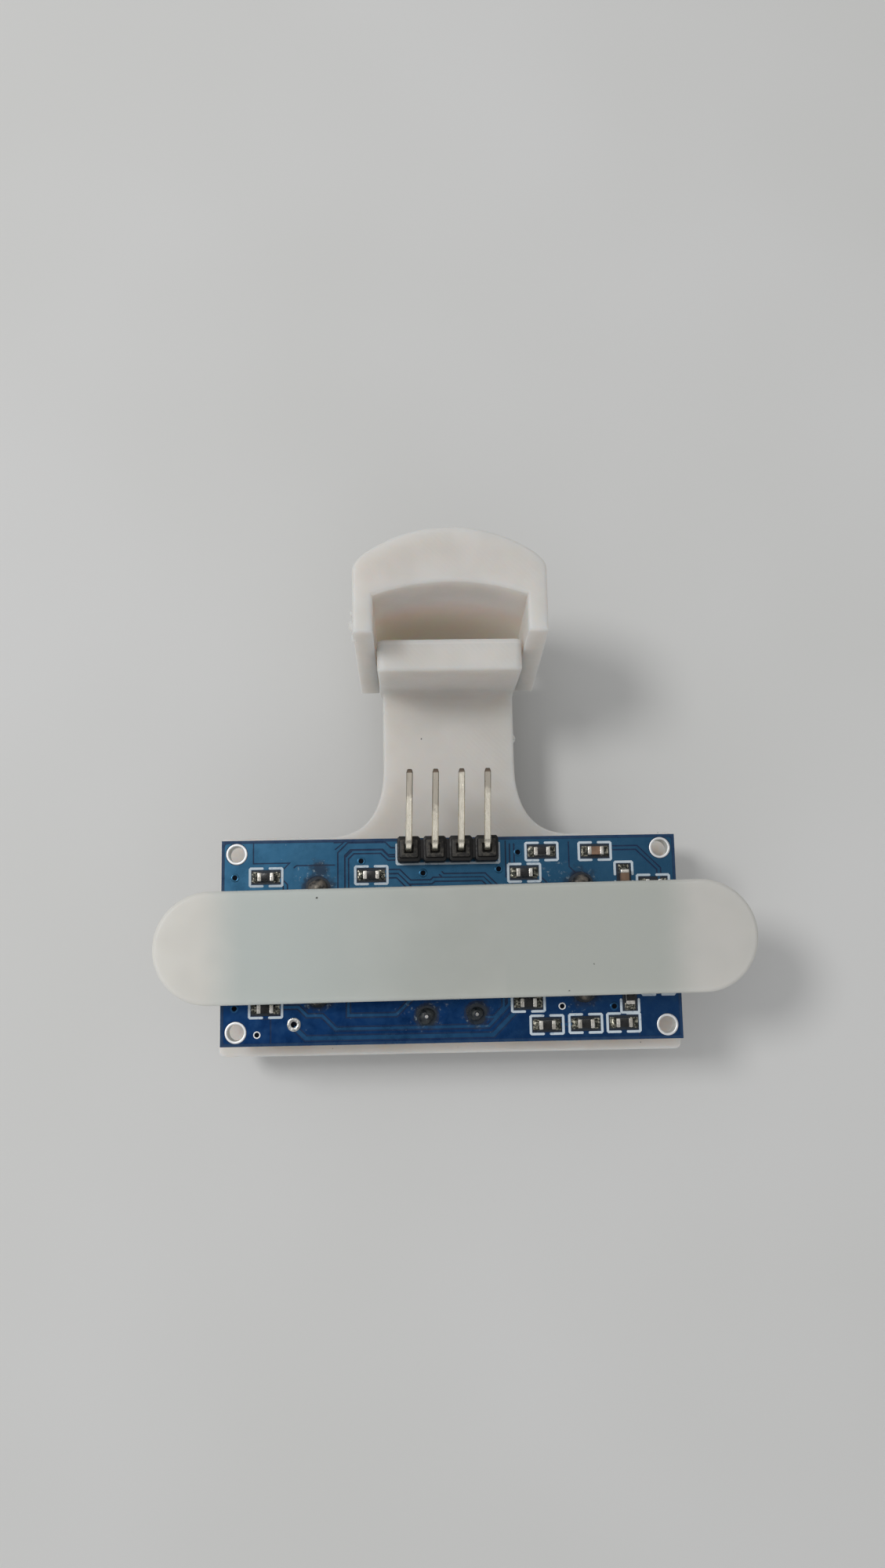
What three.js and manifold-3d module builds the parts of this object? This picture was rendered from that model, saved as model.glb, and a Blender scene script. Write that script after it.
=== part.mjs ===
// Ultrasonic distance sensor in its printed clip bracket, lying with its transducers down.
// Millimetres, +Z up, +X along the board, +Y towards the clip collar.
// The origin is the centre of the bottom of the whole part's bounding box.

import * as THREE from "three";
import { mergeVertices } from "three/addons/utils/BufferGeometryUtils.js";
import Module from "manifold-3d";

const wasm = await Module();
wasm.setup();

// ---------------------------------------------------------------- heights
const CAN_HEIGHT = 12; // from the board's front face to the rim that it stands on
const BOARD_THICKNESS = 1.6;
const BOARD_FRONT = CAN_HEIGHT;
const BOARD_BACK = BOARD_FRONT + BOARD_THICKNESS;
const SEAT = 0.05; // gap under a piece that rests on another
const PLATE_GAP = 3.7; // between the board's front face and the bracket's plate
const PLATE_THICKNESS = 3;
const PLATE_TOP = BOARD_FRONT - PLATE_GAP;
const PLATE_BOTTOM = PLATE_TOP - PLATE_THICKNESS;

// ---------------------------------------------------------------- board
const BOARD = { width: 45, depth: 20 };
const CORNER_HOLE = { radius: 0.85, spanX: 42, spanY: 17.3 };
const WIRE_HOLE_RADIUS = 0.55;
const TEST_HOLE = { x: -15.36, y: -7.97, radius: 0.35 };

// ---------------------------------------------------------------- printed bracket
const CLIP_CENTRE_X = 0.3; // the neck, tab and collar stand a little right of the board's middle
const PLATE = { left: -23.5, right: 23.4, front: -11.35, back: 10.8, corner: 0.6 };
const CAN_CLEARANCE = 0.3;
const NECK_WIDTH = 13.7;
const NECK_FILLET = { width: 5.8, length: 7.4 };
const TAB = { width: 14.2, front: 25.85, back: 29, top: 18.6, corner: 0.7, foot: 2 };
const COLLAR = {
  outerWidth: 18.4, innerWidth: 14.6, legFront: 28.3,
  innerCorner: 31.9, innerArc: 33.2, outerCorner: 35.2, outerArc: 38.6,
  top: 23.6, lean: THREE.MathUtils.degToRad(5.3),
};

// ---------------------------------------------------------------- retaining bar
const BAR = { length: 58, width: 10.8, thickness: 1.75, lift: 1.75, x: 0.5, y: -0.35, turn: 0.5, bevel: 0.35 };

// ---------------------------------------------------------------- transducers
const CAN = { radius: 8, wall: 0.5, lip: 1.1, spanX: 26, y: 0 };
const GRILLE = { front: 0.8, thickness: 0.4 };
const CONE = { mouthRadius: 4.3, throatRadius: 0.9, front: 3.4, back: 7.6, wall: 0.35 };
const PIEZO = { radius: 4.4, front: 7.9, thickness: 0.8 };
const BASE = { front: 9.3, back: 11.3 };
const LEAD = { radius: 0.35, spanY: 10.3, height: 1.1, collar: 0.95, collarHeight: 0.6 };

// ---------------------------------------------------------------- header
const PITCH = 2.54;
const HEADER = {
  ways: 4, x: -0.16, y: 8.73, depth: 2.5, width: 2.5, height: 2.5,
  shoulder: 2.1, boss: 1.75, chamfer: 0.5, bridge: 1.7, hole: 0.9,
};
const PIN = { side: 0.64, tip: 16.4, rise: 3.2, bend: 0.75, below: 1.4, point: 0.3, skew: 1.5 };

// ---------------------------------------------------------------- crystal
const CRYSTAL = {
  x: -0.05, y: -7.33, length: 10.2, width: 3.8, height: 3.45,
  flange: 0.45, flangeOut: 0.4, leadSpan: 4.88, leadRadius: 0.22, turn: 1.5,
};

// ---------------------------------------------------------------- surface parts on the board's back
const CHIP = { width: 3.9, height: 1.35, standoff: 0.12, span: 6, lead: 0.42, leadThickness: 0.2, pitch: 1.27 };
const CHIPS = [
  { name: "driver_chip", x: -13, y: 0, length: 9.9, leads: 8 },
  { name: "controller_chip", x: 0, y: 0, length: 8.65, leads: 7 },
  { name: "amplifier_chip", x: 13, y: 0, length: 8.65, leads: 7 },
];
const RESISTOR = { length: 1.6, width: 0.85, height: 0.5, cap: 0.3, capProud: 0.03 };
const CAPACITOR = { length: 1.6, width: 0.85, height: 0.85, cap: 0.36, capProud: 0.03 };
// Each place is x, y, and whether the part stands across the board (turned by a right angle).
const RESISTORS = [
  [-18.1, 6.34, false], [-7.72, 6.38, false], [9.2, 8.45, false], [7.42, 6.37, false],
  [-18.1, -6.4, false], [7.45, -6.28, false], [9.22, -8.45, false], [13, -8.4, false],
  [16.72, -8.38, false], [17.4, -5.83, true], [20.2, 5.08, false], [20.25, -4.89, false],
  [-20.2, 2.2, true], [-20.2, -2.2, true], [-6.2, 1.6, true], [-6.2, -1.6, true], [6.4, -1.6, true],
];
const CAPACITORS = [[14.5, 8.4, false], [17.3, 5.7, true], [6.4, 1.6, true], [19.6, 0.2, true]];

const ROUND = 40; // sides of a large circle
const SMALL_ROUND = 16; // sides of a hole or a wire

const paint = (color, roughness, metalness = 0) => ({ color, roughness, metalness });
const LOOKS = {
  print: paint(0xe9e7e2, 0.55), bar: paint(0xdfe4df, 0.35), mask: paint(0x1f5f9e, 0.35),
  aluminium: paint(0xc3c5c8, 0.35, 0.9), steel: paint(0xaaacae, 0.4, 0.9), brass: paint(0xb59a58, 0.4, 0.9),
  resin: paint(0x2b2b2c, 0.6), tin: paint(0xc8c4b8, 0.3, 0.9), black: paint(0x1b1b1c, 0.5),
  ceramic: paint(0x8a6d55, 0.5),
};

// ---------------------------------------------------------------- solids

// A three.js geometry as a manifold-3d solid.
function solid(geometry) {
  const bare = geometry.index ? geometry.toNonIndexed() : geometry.clone();
  bare.deleteAttribute("normal");
  bare.deleteAttribute("uv");
  const merged = mergeVertices(bare, 1e-4);
  return new wasm.Manifold(new wasm.Mesh({
    numProp: 3,
    vertProperties: merged.attributes.position.array,
    triVerts: new Uint32Array(merged.index.array),
  }));
}

// A manifold-3d solid as a three.js geometry.
function surface(body) {
  const mesh = body.getMesh();
  const geometry = new THREE.BufferGeometry();
  geometry.setAttribute("position", new THREE.BufferAttribute(mesh.vertProperties, 3));
  geometry.setIndex(new THREE.BufferAttribute(mesh.triVerts, 1));
  return geometry;
}

const joined = (first, ...others) => surface(others.reduce((sum, g) => sum.add(solid(g)), solid(first)));
const cut = (first, ...others) => surface(others.reduce((rest, g) => rest.subtract(solid(g)), solid(first)));

function named(name, geometry, look) {
  const mesh = new THREE.Mesh(geometry, new THREE.MeshStandardMaterial(look));
  mesh.name = name;
  return mesh;
}

function block(width, depth, height, x, y, bottom) {
  return new THREE.BoxGeometry(width, depth, height).translate(x, y, bottom + height / 2);
}

// An upright cylinder that stands on the height bottom.
function post(radius, height, x, y, bottom, sides = SMALL_ROUND) {
  const cylinder = new THREE.CylinderGeometry(radius, radius, height, sides);
  return cylinder.rotateX(Math.PI / 2).translate(x, y, bottom + height / 2);
}

// A solid of revolution about a vertical axis, from [radius, height] points that run upwards.
function turned(profile, sides) {
  const points = profile.map(([radius, height]) => new THREE.Vector2(radius, height));
  return new THREE.LatheGeometry(points, sides).rotateX(Math.PI / 2);
}

function extruded(shape, height, bottom, curveSegments = 8) {
  const geometry = new THREE.ExtrudeGeometry(shape, { depth: height, bevelEnabled: false, curveSegments });
  return geometry.translate(0, 0, bottom);
}

// A side profile drawn in the Y-Z plane, extruded along X about its middle.
function extrudedAcross(shape, width, x, curveSegments = 8) {
  const geometry = new THREE.ExtrudeGeometry(shape, { depth: width, bevelEnabled: false, curveSegments });
  geometry.translate(0, 0, -width / 2);
  const toSide = new THREE.Matrix4().makeBasis(
    new THREE.Vector3(0, 1, 0), new THREE.Vector3(0, 0, 1), new THREE.Vector3(1, 0, 0));
  return geometry.applyMatrix4(toSide).translate(x, 0, 0);
}

function roundedOutline(left, right, front, back, radius) {
  const shape = new THREE.Shape();
  shape.moveTo(left + radius, front);
  shape.lineTo(right - radius, front);
  shape.absarc(right - radius, front + radius, radius, -Math.PI / 2, 0);
  shape.lineTo(right, back - radius);
  shape.absarc(right - radius, back - radius, radius, 0, Math.PI / 2);
  shape.lineTo(left + radius, back);
  shape.absarc(left + radius, back - radius, radius, Math.PI / 2, Math.PI);
  shape.lineTo(left, front + radius);
  shape.absarc(left + radius, front + radius, radius, Math.PI, 1.5 * Math.PI);
  return shape;
}

// ---------------------------------------------------------------- printed bracket

// The plate's outline with its neck, which joins the plate by two concave fillets.
function bracketOutline() {
  const { left, right, front, back, corner } = PLATE;
  const neckLeft = CLIP_CENTRE_X - NECK_WIDTH / 2;
  const neckRight = CLIP_CENTRE_X + NECK_WIDTH / 2;
  const filletTop = back + NECK_FILLET.length;
  const shape = new THREE.Shape();
  shape.moveTo(left + corner, front);
  shape.lineTo(right - corner, front);
  shape.absarc(right - corner, front + corner, corner, -Math.PI / 2, 0);
  shape.lineTo(right, back - corner);
  shape.absarc(right - corner, back - corner, corner, 0, Math.PI / 2);
  shape.lineTo(neckRight + NECK_FILLET.width, back);
  shape.quadraticCurveTo(neckRight, back, neckRight, filletTop);
  shape.lineTo(neckRight, TAB.back);
  shape.lineTo(neckLeft, TAB.back);
  shape.lineTo(neckLeft, filletTop);
  shape.quadraticCurveTo(neckLeft, back, neckLeft - NECK_FILLET.width, back);
  shape.lineTo(left + corner, back);
  shape.absarc(left + corner, back - corner, corner, Math.PI / 2, Math.PI);
  shape.lineTo(left, front + corner);
  shape.absarc(left + corner, front + corner, corner, Math.PI, 1.5 * Math.PI);
  return shape;
}

// The upright tab: a rounded slab that the collar holds by its two ends.
function tabSlab() {
  const height = TAB.top - PLATE_BOTTOM;
  const half = TAB.width / 2;
  const outline = roundedOutline(-half, half, 0, height, TAB.corner);
  const slab = extruded(outline, TAB.back - TAB.front, 0, 4);
  return slab.rotateX(Math.PI / 2).translate(CLIP_CENTRE_X, TAB.back, PLATE_BOTTOM);
}

// The concave fillet where the neck turns up into the tab.
function tabFoot() {
  const inside = 0.3; // how far the fillet runs into the tab and the neck
  const shape = new THREE.Shape();
  shape.moveTo(TAB.front - TAB.foot, PLATE_TOP);
  shape.quadraticCurveTo(TAB.front, PLATE_TOP, TAB.front, PLATE_TOP + TAB.foot);
  shape.lineTo(TAB.front + inside, PLATE_TOP + TAB.foot);
  shape.lineTo(TAB.front + inside, PLATE_TOP - inside);
  shape.lineTo(TAB.front - TAB.foot, PLATE_TOP - inside);
  return extrudedAcross(shape, NECK_WIDTH, CLIP_CENTRE_X, 5);
}

function bracket() {
  const outline = bracketOutline();
  for (const side of [-1, 1]) {
    const hole = new THREE.Path();
    hole.absarc(side * CAN.spanX / 2, CAN.y, CAN.radius + CAN_CLEARANCE, 0, 2 * Math.PI, true);
    outline.holes.push(hole);
  }
  const plate = extruded(outline, PLATE_THICKNESS, PLATE_BOTTOM, 20);
  return named("bracket", joined(plate, tabSlab(), tabFoot()), LOOKS.print);
}

// The point midway along an arc that rises by `rise` over a chord, and the arc's radius.
function arcThrough(halfChord, rise) {
  const radius = (halfChord ** 2 + rise ** 2) / (2 * rise);
  return { radius, halfAngle: Math.asin(halfChord / radius) };
}

// The collar: a U of two thin legs joined by a thick arch, open towards the board, leaning back.
function collar() {
  const outerHalf = COLLAR.outerWidth / 2;
  const innerHalf = COLLAR.innerWidth / 2;
  const outer = arcThrough(outerHalf, COLLAR.outerArc - COLLAR.outerCorner);
  const inner = arcThrough(innerHalf, COLLAR.innerArc - COLLAR.innerCorner);
  const shape = new THREE.Shape();
  shape.moveTo(innerHalf, COLLAR.legFront);
  shape.lineTo(outerHalf, COLLAR.legFront);
  shape.lineTo(outerHalf, COLLAR.outerCorner);
  shape.absarc(0, COLLAR.outerArc - outer.radius, outer.radius,
    Math.PI / 2 - outer.halfAngle, Math.PI / 2 + outer.halfAngle);
  shape.lineTo(-outerHalf, COLLAR.legFront);
  shape.lineTo(-innerHalf, COLLAR.legFront);
  shape.lineTo(-innerHalf, COLLAR.innerCorner);
  shape.absarc(0, COLLAR.innerArc - inner.radius, inner.radius,
    Math.PI / 2 + inner.halfAngle, Math.PI / 2 - inner.halfAngle, true);
  const height = COLLAR.top - PLATE_BOTTOM;
  const ring = extruded(shape, height, -height, 12);
  const lean = new THREE.Matrix4().set(1, 0, 0, 0, 0, 1, Math.tan(COLLAR.lean), 0, 0, 0, 1, 0, 0, 0, 0, 1);
  ring.applyMatrix4(lean).translate(CLIP_CENTRE_X, 0, COLLAR.top);
  return named("collar", ring, LOOKS.print);
}

// ---------------------------------------------------------------- retaining bar

// A strip with half-round ends and eased edges.
function retainingBar() {
  const { length, width, thickness, bevel } = BAR;
  const endRadius = width / 2 - bevel;
  const endX = length / 2 - width / 2;
  const shape = new THREE.Shape();
  shape.moveTo(-endX, -endRadius);
  shape.lineTo(endX, -endRadius);
  shape.absarc(endX, 0, endRadius, -Math.PI / 2, Math.PI / 2);
  shape.lineTo(-endX, endRadius);
  shape.absarc(-endX, 0, endRadius, Math.PI / 2, 1.5 * Math.PI);
  const strip = new THREE.ExtrudeGeometry(shape, {
    depth: thickness - 2 * bevel, bevelSize: bevel, bevelThickness: bevel, bevelSegments: 2, curveSegments: 20,
  });
  const mesh = named("retaining_bar", surface(solid(strip.translate(0, 0, bevel))), LOOKS.bar);
  mesh.position.set(BAR.x, BAR.y, BOARD_BACK + BAR.lift);
  mesh.rotation.z = THREE.MathUtils.degToRad(BAR.turn);
  return mesh;
}

// ---------------------------------------------------------------- board

const canCentres = { transmitter: -CAN.spanX / 2, receiver: CAN.spanX / 2 };
const leadPlaces = (x) => [[x, CAN.y + LEAD.spanY / 2], [x, CAN.y - LEAD.spanY / 2]];
const headerX = (way) => HEADER.x + (way - (HEADER.ways - 1) / 2) * PITCH;
const ways = [...Array(HEADER.ways).keys()];

function crystalLeadPlaces() {
  const turn = THREE.MathUtils.degToRad(CRYSTAL.turn);
  const reach = CRYSTAL.leadSpan / 2;
  return [-1, 1].map((side) => [
    CRYSTAL.x + side * reach * Math.cos(turn), CRYSTAL.y + side * reach * Math.sin(turn)]);
}

function circuitBoard() {
  const { width, depth } = BOARD;
  const shape = new THREE.Shape();
  shape.moveTo(-width / 2, -depth / 2);
  shape.lineTo(width / 2, -depth / 2);
  shape.lineTo(width / 2, depth / 2);
  shape.lineTo(-width / 2, depth / 2);
  const corners = [[-1, -1], [1, -1], [1, 1], [-1, 1]].map(
    ([sx, sy]) => [sx * CORNER_HOLE.spanX / 2, sy * CORNER_HOLE.spanY / 2, CORNER_HOLE.radius]);
  const wires = [
    ...leadPlaces(canCentres.transmitter), ...leadPlaces(canCentres.receiver),
    ...ways.map((way) => [headerX(way), HEADER.y]), ...crystalLeadPlaces(),
  ].map(([x, y]) => [x, y, WIRE_HOLE_RADIUS]);
  for (const [x, y, radius] of [...corners, ...wires, [TEST_HOLE.x, TEST_HOLE.y, TEST_HOLE.radius]]) {
    const hole = new THREE.Path();
    hole.absarc(x, y, radius, 0, 2 * Math.PI, true);
    shape.holes.push(hole);
  }
  return named("circuit_board", extruded(shape, BOARD_THICKNESS, BOARD_FRONT, 7), LOOKS.mask);
}

// ---------------------------------------------------------------- transducers

// An aluminium cup that is open towards the board, with a turned-in lip at its front.
function canShell() {
  const top = BOARD_FRONT - SEAT;
  const { radius, wall, lip } = CAN;
  return turned([
    [radius - lip, 0], [radius - 0.25, 0], [radius, 0.25], [radius, top],
    [radius - wall, top], [radius - wall, wall], [radius - lip, wall], [radius - lip, 0],
  ], ROUND);
}

// A thin flared horn, which sits mouth down under the piezo disc.
function hornShell() {
  const { mouthRadius, throatRadius, front, back, wall } = CONE;
  const middle = (front + back) / 2;
  const bend = 0.35; // how far the flare bows in from a straight cone
  const middleRadius = (mouthRadius + throatRadius) / 2 - bend;
  return turned([
    [0, back - wall], [throatRadius - wall, back - wall], [middleRadius - wall, middle],
    [mouthRadius - wall, front], [mouthRadius, front], [middleRadius, middle],
    [throatRadius, back], [0, back],
  ], 28);
}

// A lead through the board, with its solder cone on the board's back.
function leadRod(radius, bottom, coneRadius, coneHeight, rise) {
  const foot = BOARD_BACK + SEAT;
  return turned([
    [0, bottom], [radius, bottom], [radius, foot], [coneRadius, foot], [coneRadius * 0.8, foot + coneHeight * 0.4],
    [radius * 1.25, foot + coneHeight], [radius, BOARD_BACK + rise - 0.1], [radius * 0.6, BOARD_BACK + rise],
    [0, BOARD_BACK + rise],
  ], SMALL_ROUND);
}

function transducer(name, x) {
  const inner = CAN.radius - CAN.wall - CAN_CLEARANCE;
  const disc = (radius, front, thickness) => post(radius, thickness, 0, 0, front, ROUND);
  const pieces = [
    named(`${name}_can`, canShell(), LOOKS.aluminium),
    named(`${name}_grille`, disc(inner, GRILLE.front, GRILLE.thickness), LOOKS.steel),
    named(`${name}_horn`, hornShell(), LOOKS.aluminium),
    named(`${name}_piezo_disc`, disc(PIEZO.radius, PIEZO.front, PIEZO.thickness), LOOKS.brass),
    named(`${name}_base`, disc(inner, BASE.front, BASE.back - BASE.front), LOOKS.resin),
  ];
  for (const piece of pieces) piece.position.set(x, CAN.y, 0);
  const leads = leadPlaces(x).map(([leadX, leadY], index) => {
    const rod = leadRod(LEAD.radius, BASE.back + CAN_CLEARANCE, LEAD.collar, LEAD.collarHeight, LEAD.height);
    const lead = named(`${name}_lead_${index + 1}`, rod, LOOKS.tin);
    lead.position.set(leadX, leadY, 0);
    return lead;
  });
  return [...pieces, ...leads];
}

// ---------------------------------------------------------------- header

function octagon(width, depth, chamfer) {
  const x = width / 2;
  const y = depth / 2;
  return new THREE.Shape([
    [x - chamfer, -y], [x, -y + chamfer], [x, y - chamfer], [x - chamfer, y],
    [-x + chamfer, y], [-x, y - chamfer], [-x, -y + chamfer], [-x + chamfer, -y],
  ].map(([px, py]) => new THREE.Vector2(px, py)));
}

// One way of the header: an eight-sided block with a square boss on top.
function headerBlock(x) {
  const bottom = BOARD_BACK + SEAT;
  const cheeks = extruded(octagon(HEADER.width, HEADER.depth, HEADER.chamfer), HEADER.shoulder, bottom);
  const bossHeight = HEADER.height - SEAT;
  const boss = block(HEADER.boss, HEADER.boss, bossHeight, 0, 0, bottom);
  return [cheeks.translate(x, HEADER.y, 0), boss.translate(x, HEADER.y, 0)];
}

function headerBody() {
  const bottom = BOARD_BACK + SEAT;
  const bridge = block((HEADER.ways - 1) * PITCH, HEADER.bridge, HEADER.shoulder - SEAT, HEADER.x, HEADER.y, bottom);
  const whole = joined(bridge, ...ways.flatMap((way) => headerBlock(headerX(way))));
  const holes = ways.map((way) => block(HEADER.hole, HEADER.hole, 4, headerX(way), HEADER.y, BOARD_BACK - 0.5));
  return named("header_body", cut(whole, ...holes), LOOKS.black);
}

// A square pin that rises through the board and its block, then bends out over the board's edge.
function headerPin(way) {
  const half = PIN.side / 2;
  const top = BOARD_BACK + PIN.rise;
  const foot = BOARD_FRONT - PIN.below;
  const bendY = PIN.bend;
  const reach = PIN.tip - HEADER.y;
  const shape = new THREE.Shape();
  shape.moveTo(half, foot);
  shape.lineTo(half, top - bendY);
  shape.absarc(bendY, top - bendY, bendY - half, Math.PI, Math.PI / 2, true);
  shape.lineTo(reach - PIN.point, top - half);
  shape.lineTo(reach, top - half / 2);
  shape.lineTo(reach, top + half / 2);
  shape.lineTo(reach - PIN.point, top + half);
  shape.lineTo(bendY, top + half);
  shape.absarc(bendY, top - bendY, bendY + half, Math.PI / 2, Math.PI, false);
  shape.lineTo(-half, foot);
  const pin = named(`header_pin_${way + 1}`, surface(solid(extrudedAcross(shape, PIN.side, 0, 5))), LOOKS.tin);
  pin.position.set(headerX(way), HEADER.y, 0);
  pin.rotation.z = -THREE.MathUtils.degToRad(PIN.skew);
  return pin;
}

// ---------------------------------------------------------------- crystal

function stadium(length, width) {
  const radius = width / 2;
  const endX = length / 2 - radius;
  const shape = new THREE.Shape();
  shape.moveTo(-endX, -radius);
  shape.lineTo(endX, -radius);
  shape.absarc(endX, 0, radius, -Math.PI / 2, Math.PI / 2);
  shape.lineTo(-endX, radius);
  shape.absarc(-endX, 0, radius, Math.PI / 2, 1.5 * Math.PI);
  return shape;
}

// A low metal can with a flange, hanging under the board's front face, and its two wires.
function crystal() {
  const { length, width, height, flange, flangeOut } = CRYSTAL;
  const top = BOARD_FRONT - SEAT;
  const body = extruded(stadium(length, width), height, top - height, 8);
  const rim = extruded(stadium(length + 2 * flangeOut, width + 2 * flangeOut), flange, top - flange, 8);
  const can = named("crystal_can", joined(body, rim), LOOKS.steel);
  can.position.set(CRYSTAL.x, CRYSTAL.y, 0);
  can.rotation.z = THREE.MathUtils.degToRad(CRYSTAL.turn);
  const leads = crystalLeadPlaces().map(([x, y], index) => {
    const rod = leadRod(CRYSTAL.leadRadius, BOARD_FRONT + CAN_CLEARANCE, LEAD.collar, LEAD.collarHeight, LEAD.height);
    const lead = named(`crystal_lead_${index + 1}`, rod, LOOKS.tin);
    lead.position.set(x, y, 0);
    return lead;
  });
  return [can, ...leads];
}

// ---------------------------------------------------------------- surface parts

// One bent lead, drawn from the chip's side outwards and down to the board.
function chipLead(x, side) {
  const inside = CHIP.width / 2 - 0.3;
  const knee = CHIP.width / 2 + 0.3;
  const toe = CHIP.span / 2;
  const ankle = toe - 0.6;
  const shoulder = CHIP.standoff + CHIP.height / 2;
  const t = CHIP.leadThickness;
  const shape = new THREE.Shape([
    [inside, shoulder - t], [knee - t, shoulder - t], [ankle - t, SEAT], [toe, SEAT],
    [toe, SEAT + t], [ankle, SEAT + t], [knee, shoulder], [inside, shoulder],
  ].map(([y, z]) => new THREE.Vector2(y, z)));
  const lead = extrudedAcross(shape, CHIP.lead, 0);
  return (side > 0 ? lead : lead.rotateZ(Math.PI)).translate(x, 0, 0);
}

// A moulded package with a row of bent leads along each long side.
function chip({ name, x, y, length, leads }) {
  const draft = 0.12; // how far the package's sides lean in above and below its middle
  const half = CHIP.height / 2;
  const lower = new THREE.BoxGeometry(length, CHIP.width, CHIP.height, 1, 1, 2);
  const places = lower.attributes.position;
  for (let i = 0; i < places.count; i += 1) {
    const lean = draft * Math.abs(places.getZ(i)) / half;
    places.setX(i, places.getX(i) - Math.sign(places.getX(i)) * lean);
    places.setY(i, places.getY(i) - Math.sign(places.getY(i)) * lean);
  }
  lower.translate(0, 0, CHIP.standoff + half);
  const offsets = [...Array(leads).keys()].map((i) => (i - (leads - 1) / 2) * CHIP.pitch);
  const legs = offsets.flatMap((offset) => [chipLead(offset, 1), chipLead(offset, -1)]);
  const mesh = named(name, joined(lower, ...legs), LOOKS.black);
  mesh.position.set(x, y, BOARD_BACK);
  return mesh;
}

// A ceramic block with a slightly proud metal cap at each end.
function endCapped(name, size, [x, y, across], look) {
  const capX = (size.length - size.cap) / 2;
  const height = size.height - size.capProud;
  const core = block(size.length - size.cap, size.width - 2 * size.capProud, height, 0, 0, SEAT);
  const caps = [-1, 1].map((side) => block(size.cap, size.width, size.height, side * capX, 0, SEAT));
  const mesh = named(name, joined(core, ...caps), look);
  mesh.position.set(x, y, BOARD_BACK);
  if (across) mesh.rotation.z = Math.PI / 2;
  return mesh;
}

// ---------------------------------------------------------------- assembly

const assembly = new THREE.Group();
assembly.add(bracket(), collar(), retainingBar(), circuitBoard(), headerBody());
for (const [name, x] of Object.entries(canCentres)) assembly.add(...transducer(name, x));
assembly.add(...ways.map(headerPin), ...crystal(), ...CHIPS.map(chip));
assembly.add(...RESISTORS.map((place, i) => endCapped(`resistor_${i + 1}`, RESISTOR, place, LOOKS.black)));
assembly.add(...CAPACITORS.map((place, i) => endCapped(`capacitor_${i + 1}`, CAPACITOR, place, LOOKS.ceramic)));

const box = new THREE.Box3().setFromObject(assembly, true);
const centre = box.getCenter(new THREE.Vector3());
assembly.position.set(-centre.x, -centre.y, -box.min.z);

const sensor = new THREE.Group();
sensor.add(assembly);
export default sensor;
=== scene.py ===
"""The ultrasonic distance sensor: fine meshes, materials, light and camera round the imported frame."""

import math
import random

import bmesh
import bpy
from mathutils import Matrix, Vector


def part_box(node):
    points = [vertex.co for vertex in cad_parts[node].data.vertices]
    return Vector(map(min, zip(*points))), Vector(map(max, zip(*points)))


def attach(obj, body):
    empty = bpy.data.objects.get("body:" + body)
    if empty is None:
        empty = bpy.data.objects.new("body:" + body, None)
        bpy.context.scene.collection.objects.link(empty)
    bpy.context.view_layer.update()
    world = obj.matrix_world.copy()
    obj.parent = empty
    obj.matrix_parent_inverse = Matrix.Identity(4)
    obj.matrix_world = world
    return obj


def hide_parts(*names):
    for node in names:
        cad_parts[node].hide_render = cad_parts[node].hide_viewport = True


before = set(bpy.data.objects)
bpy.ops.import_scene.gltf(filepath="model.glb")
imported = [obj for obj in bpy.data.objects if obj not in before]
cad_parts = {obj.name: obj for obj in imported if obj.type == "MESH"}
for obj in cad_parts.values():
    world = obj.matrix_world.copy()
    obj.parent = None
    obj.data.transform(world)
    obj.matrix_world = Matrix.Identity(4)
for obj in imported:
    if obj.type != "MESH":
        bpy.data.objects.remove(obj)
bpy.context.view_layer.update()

MM = 0.001  # scene lengths below are in millimetres unless a name says otherwise
BOARD_BODY, BRACKET_BODY, BAR_BODY = "sensor_board", "bracket", "retaining_bar"


class Box:
    """A CAD node's box at rest, in millimetres."""

    def __init__(self, node):
        low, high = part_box(node)
        self.low, self.high = low / MM, high / MM
        self.mid = (self.low + self.high) / 2
        self.size = self.high - self.low
        self.across = self.size.y > self.size.x  # its longer side runs along Y

    def lying(self, length, width):
        """The same two, in the order (along X, along Y) in which the box lies."""
        return (width, length) if self.across else (length, width)


BOARD = Box("circuit_board")
BRACKET = Box("bracket")
COLLAR = Box("collar")
BAR = Box("retaining_bar")
HEADER = Box("header_body")
CRYSTAL = Box("crystal_can")
BACK = BOARD.high.z  # the board's component side
FRONT = BOARD.low.z  # the side that the transducers stand on

# ---- driving dimensions
PLATE = {"left": -23.5, "right": 23.4, "front": -11.35, "back": 10.8, "corner": 0.6, "thickness": 3.0}
CLIP_X = 0.3  # the neck, tab and collar stand a little right of the board's middle
NECK = {"width": 13.7, "fillet_width": 5.8, "fillet_length": 7.4}
TAB = {"width": 14.2, "front": 25.85, "back": 29.0, "corner": 0.7, "foot": 2.0}
COLLAR_SHAPE = {
    "outer": 18.4, "inner": 14.6, "leg": 28.3, "inner_corner": 31.9, "inner_arc": 33.2,
    "outer_corner": 35.2, "outer_arc": 38.6, "shoulder": 0.75, "lean": math.radians(5.3),
}
BAR_SHAPE = {"length": 58.0, "width": 10.8, "turn": math.radians(0.5), "ease": 0.45}
CAN = {"radius": 8.0, "wall": 0.5, "lip": 1.1, "corner": 0.45, "hole": 8.3}
CAN_X = {"transmitter": -13.0, "receiver": 13.0}
LEAD_Y = 5.15
WEAVE = {"pitch": 0.62, "wire": 0.085}
CRYSTAL_SHAPE = {"body": (10.2, 3.8), "rim": (11.0, 4.6), "turn": math.radians(1.5)}
SCREW_HOLES = [(sx * 21.0, sy * 8.65) for sx in (-1, 1) for sy in (-1, 1)]
SCREW_HOLE = {"radius": 0.85, "ring": 1.04}
PITCH = 2.54
PIN = {"side": 0.64, "bend": 0.75, "rise": 3.2, "tip": 0.38, "skew": math.radians(1.5)}
WAY = {"width": 2.24, "shoulder": 2.05}
CHIP_LEADS = {"driver_chip": 8, "controller_chip": 7, "amplifier_chip": 7}
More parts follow.
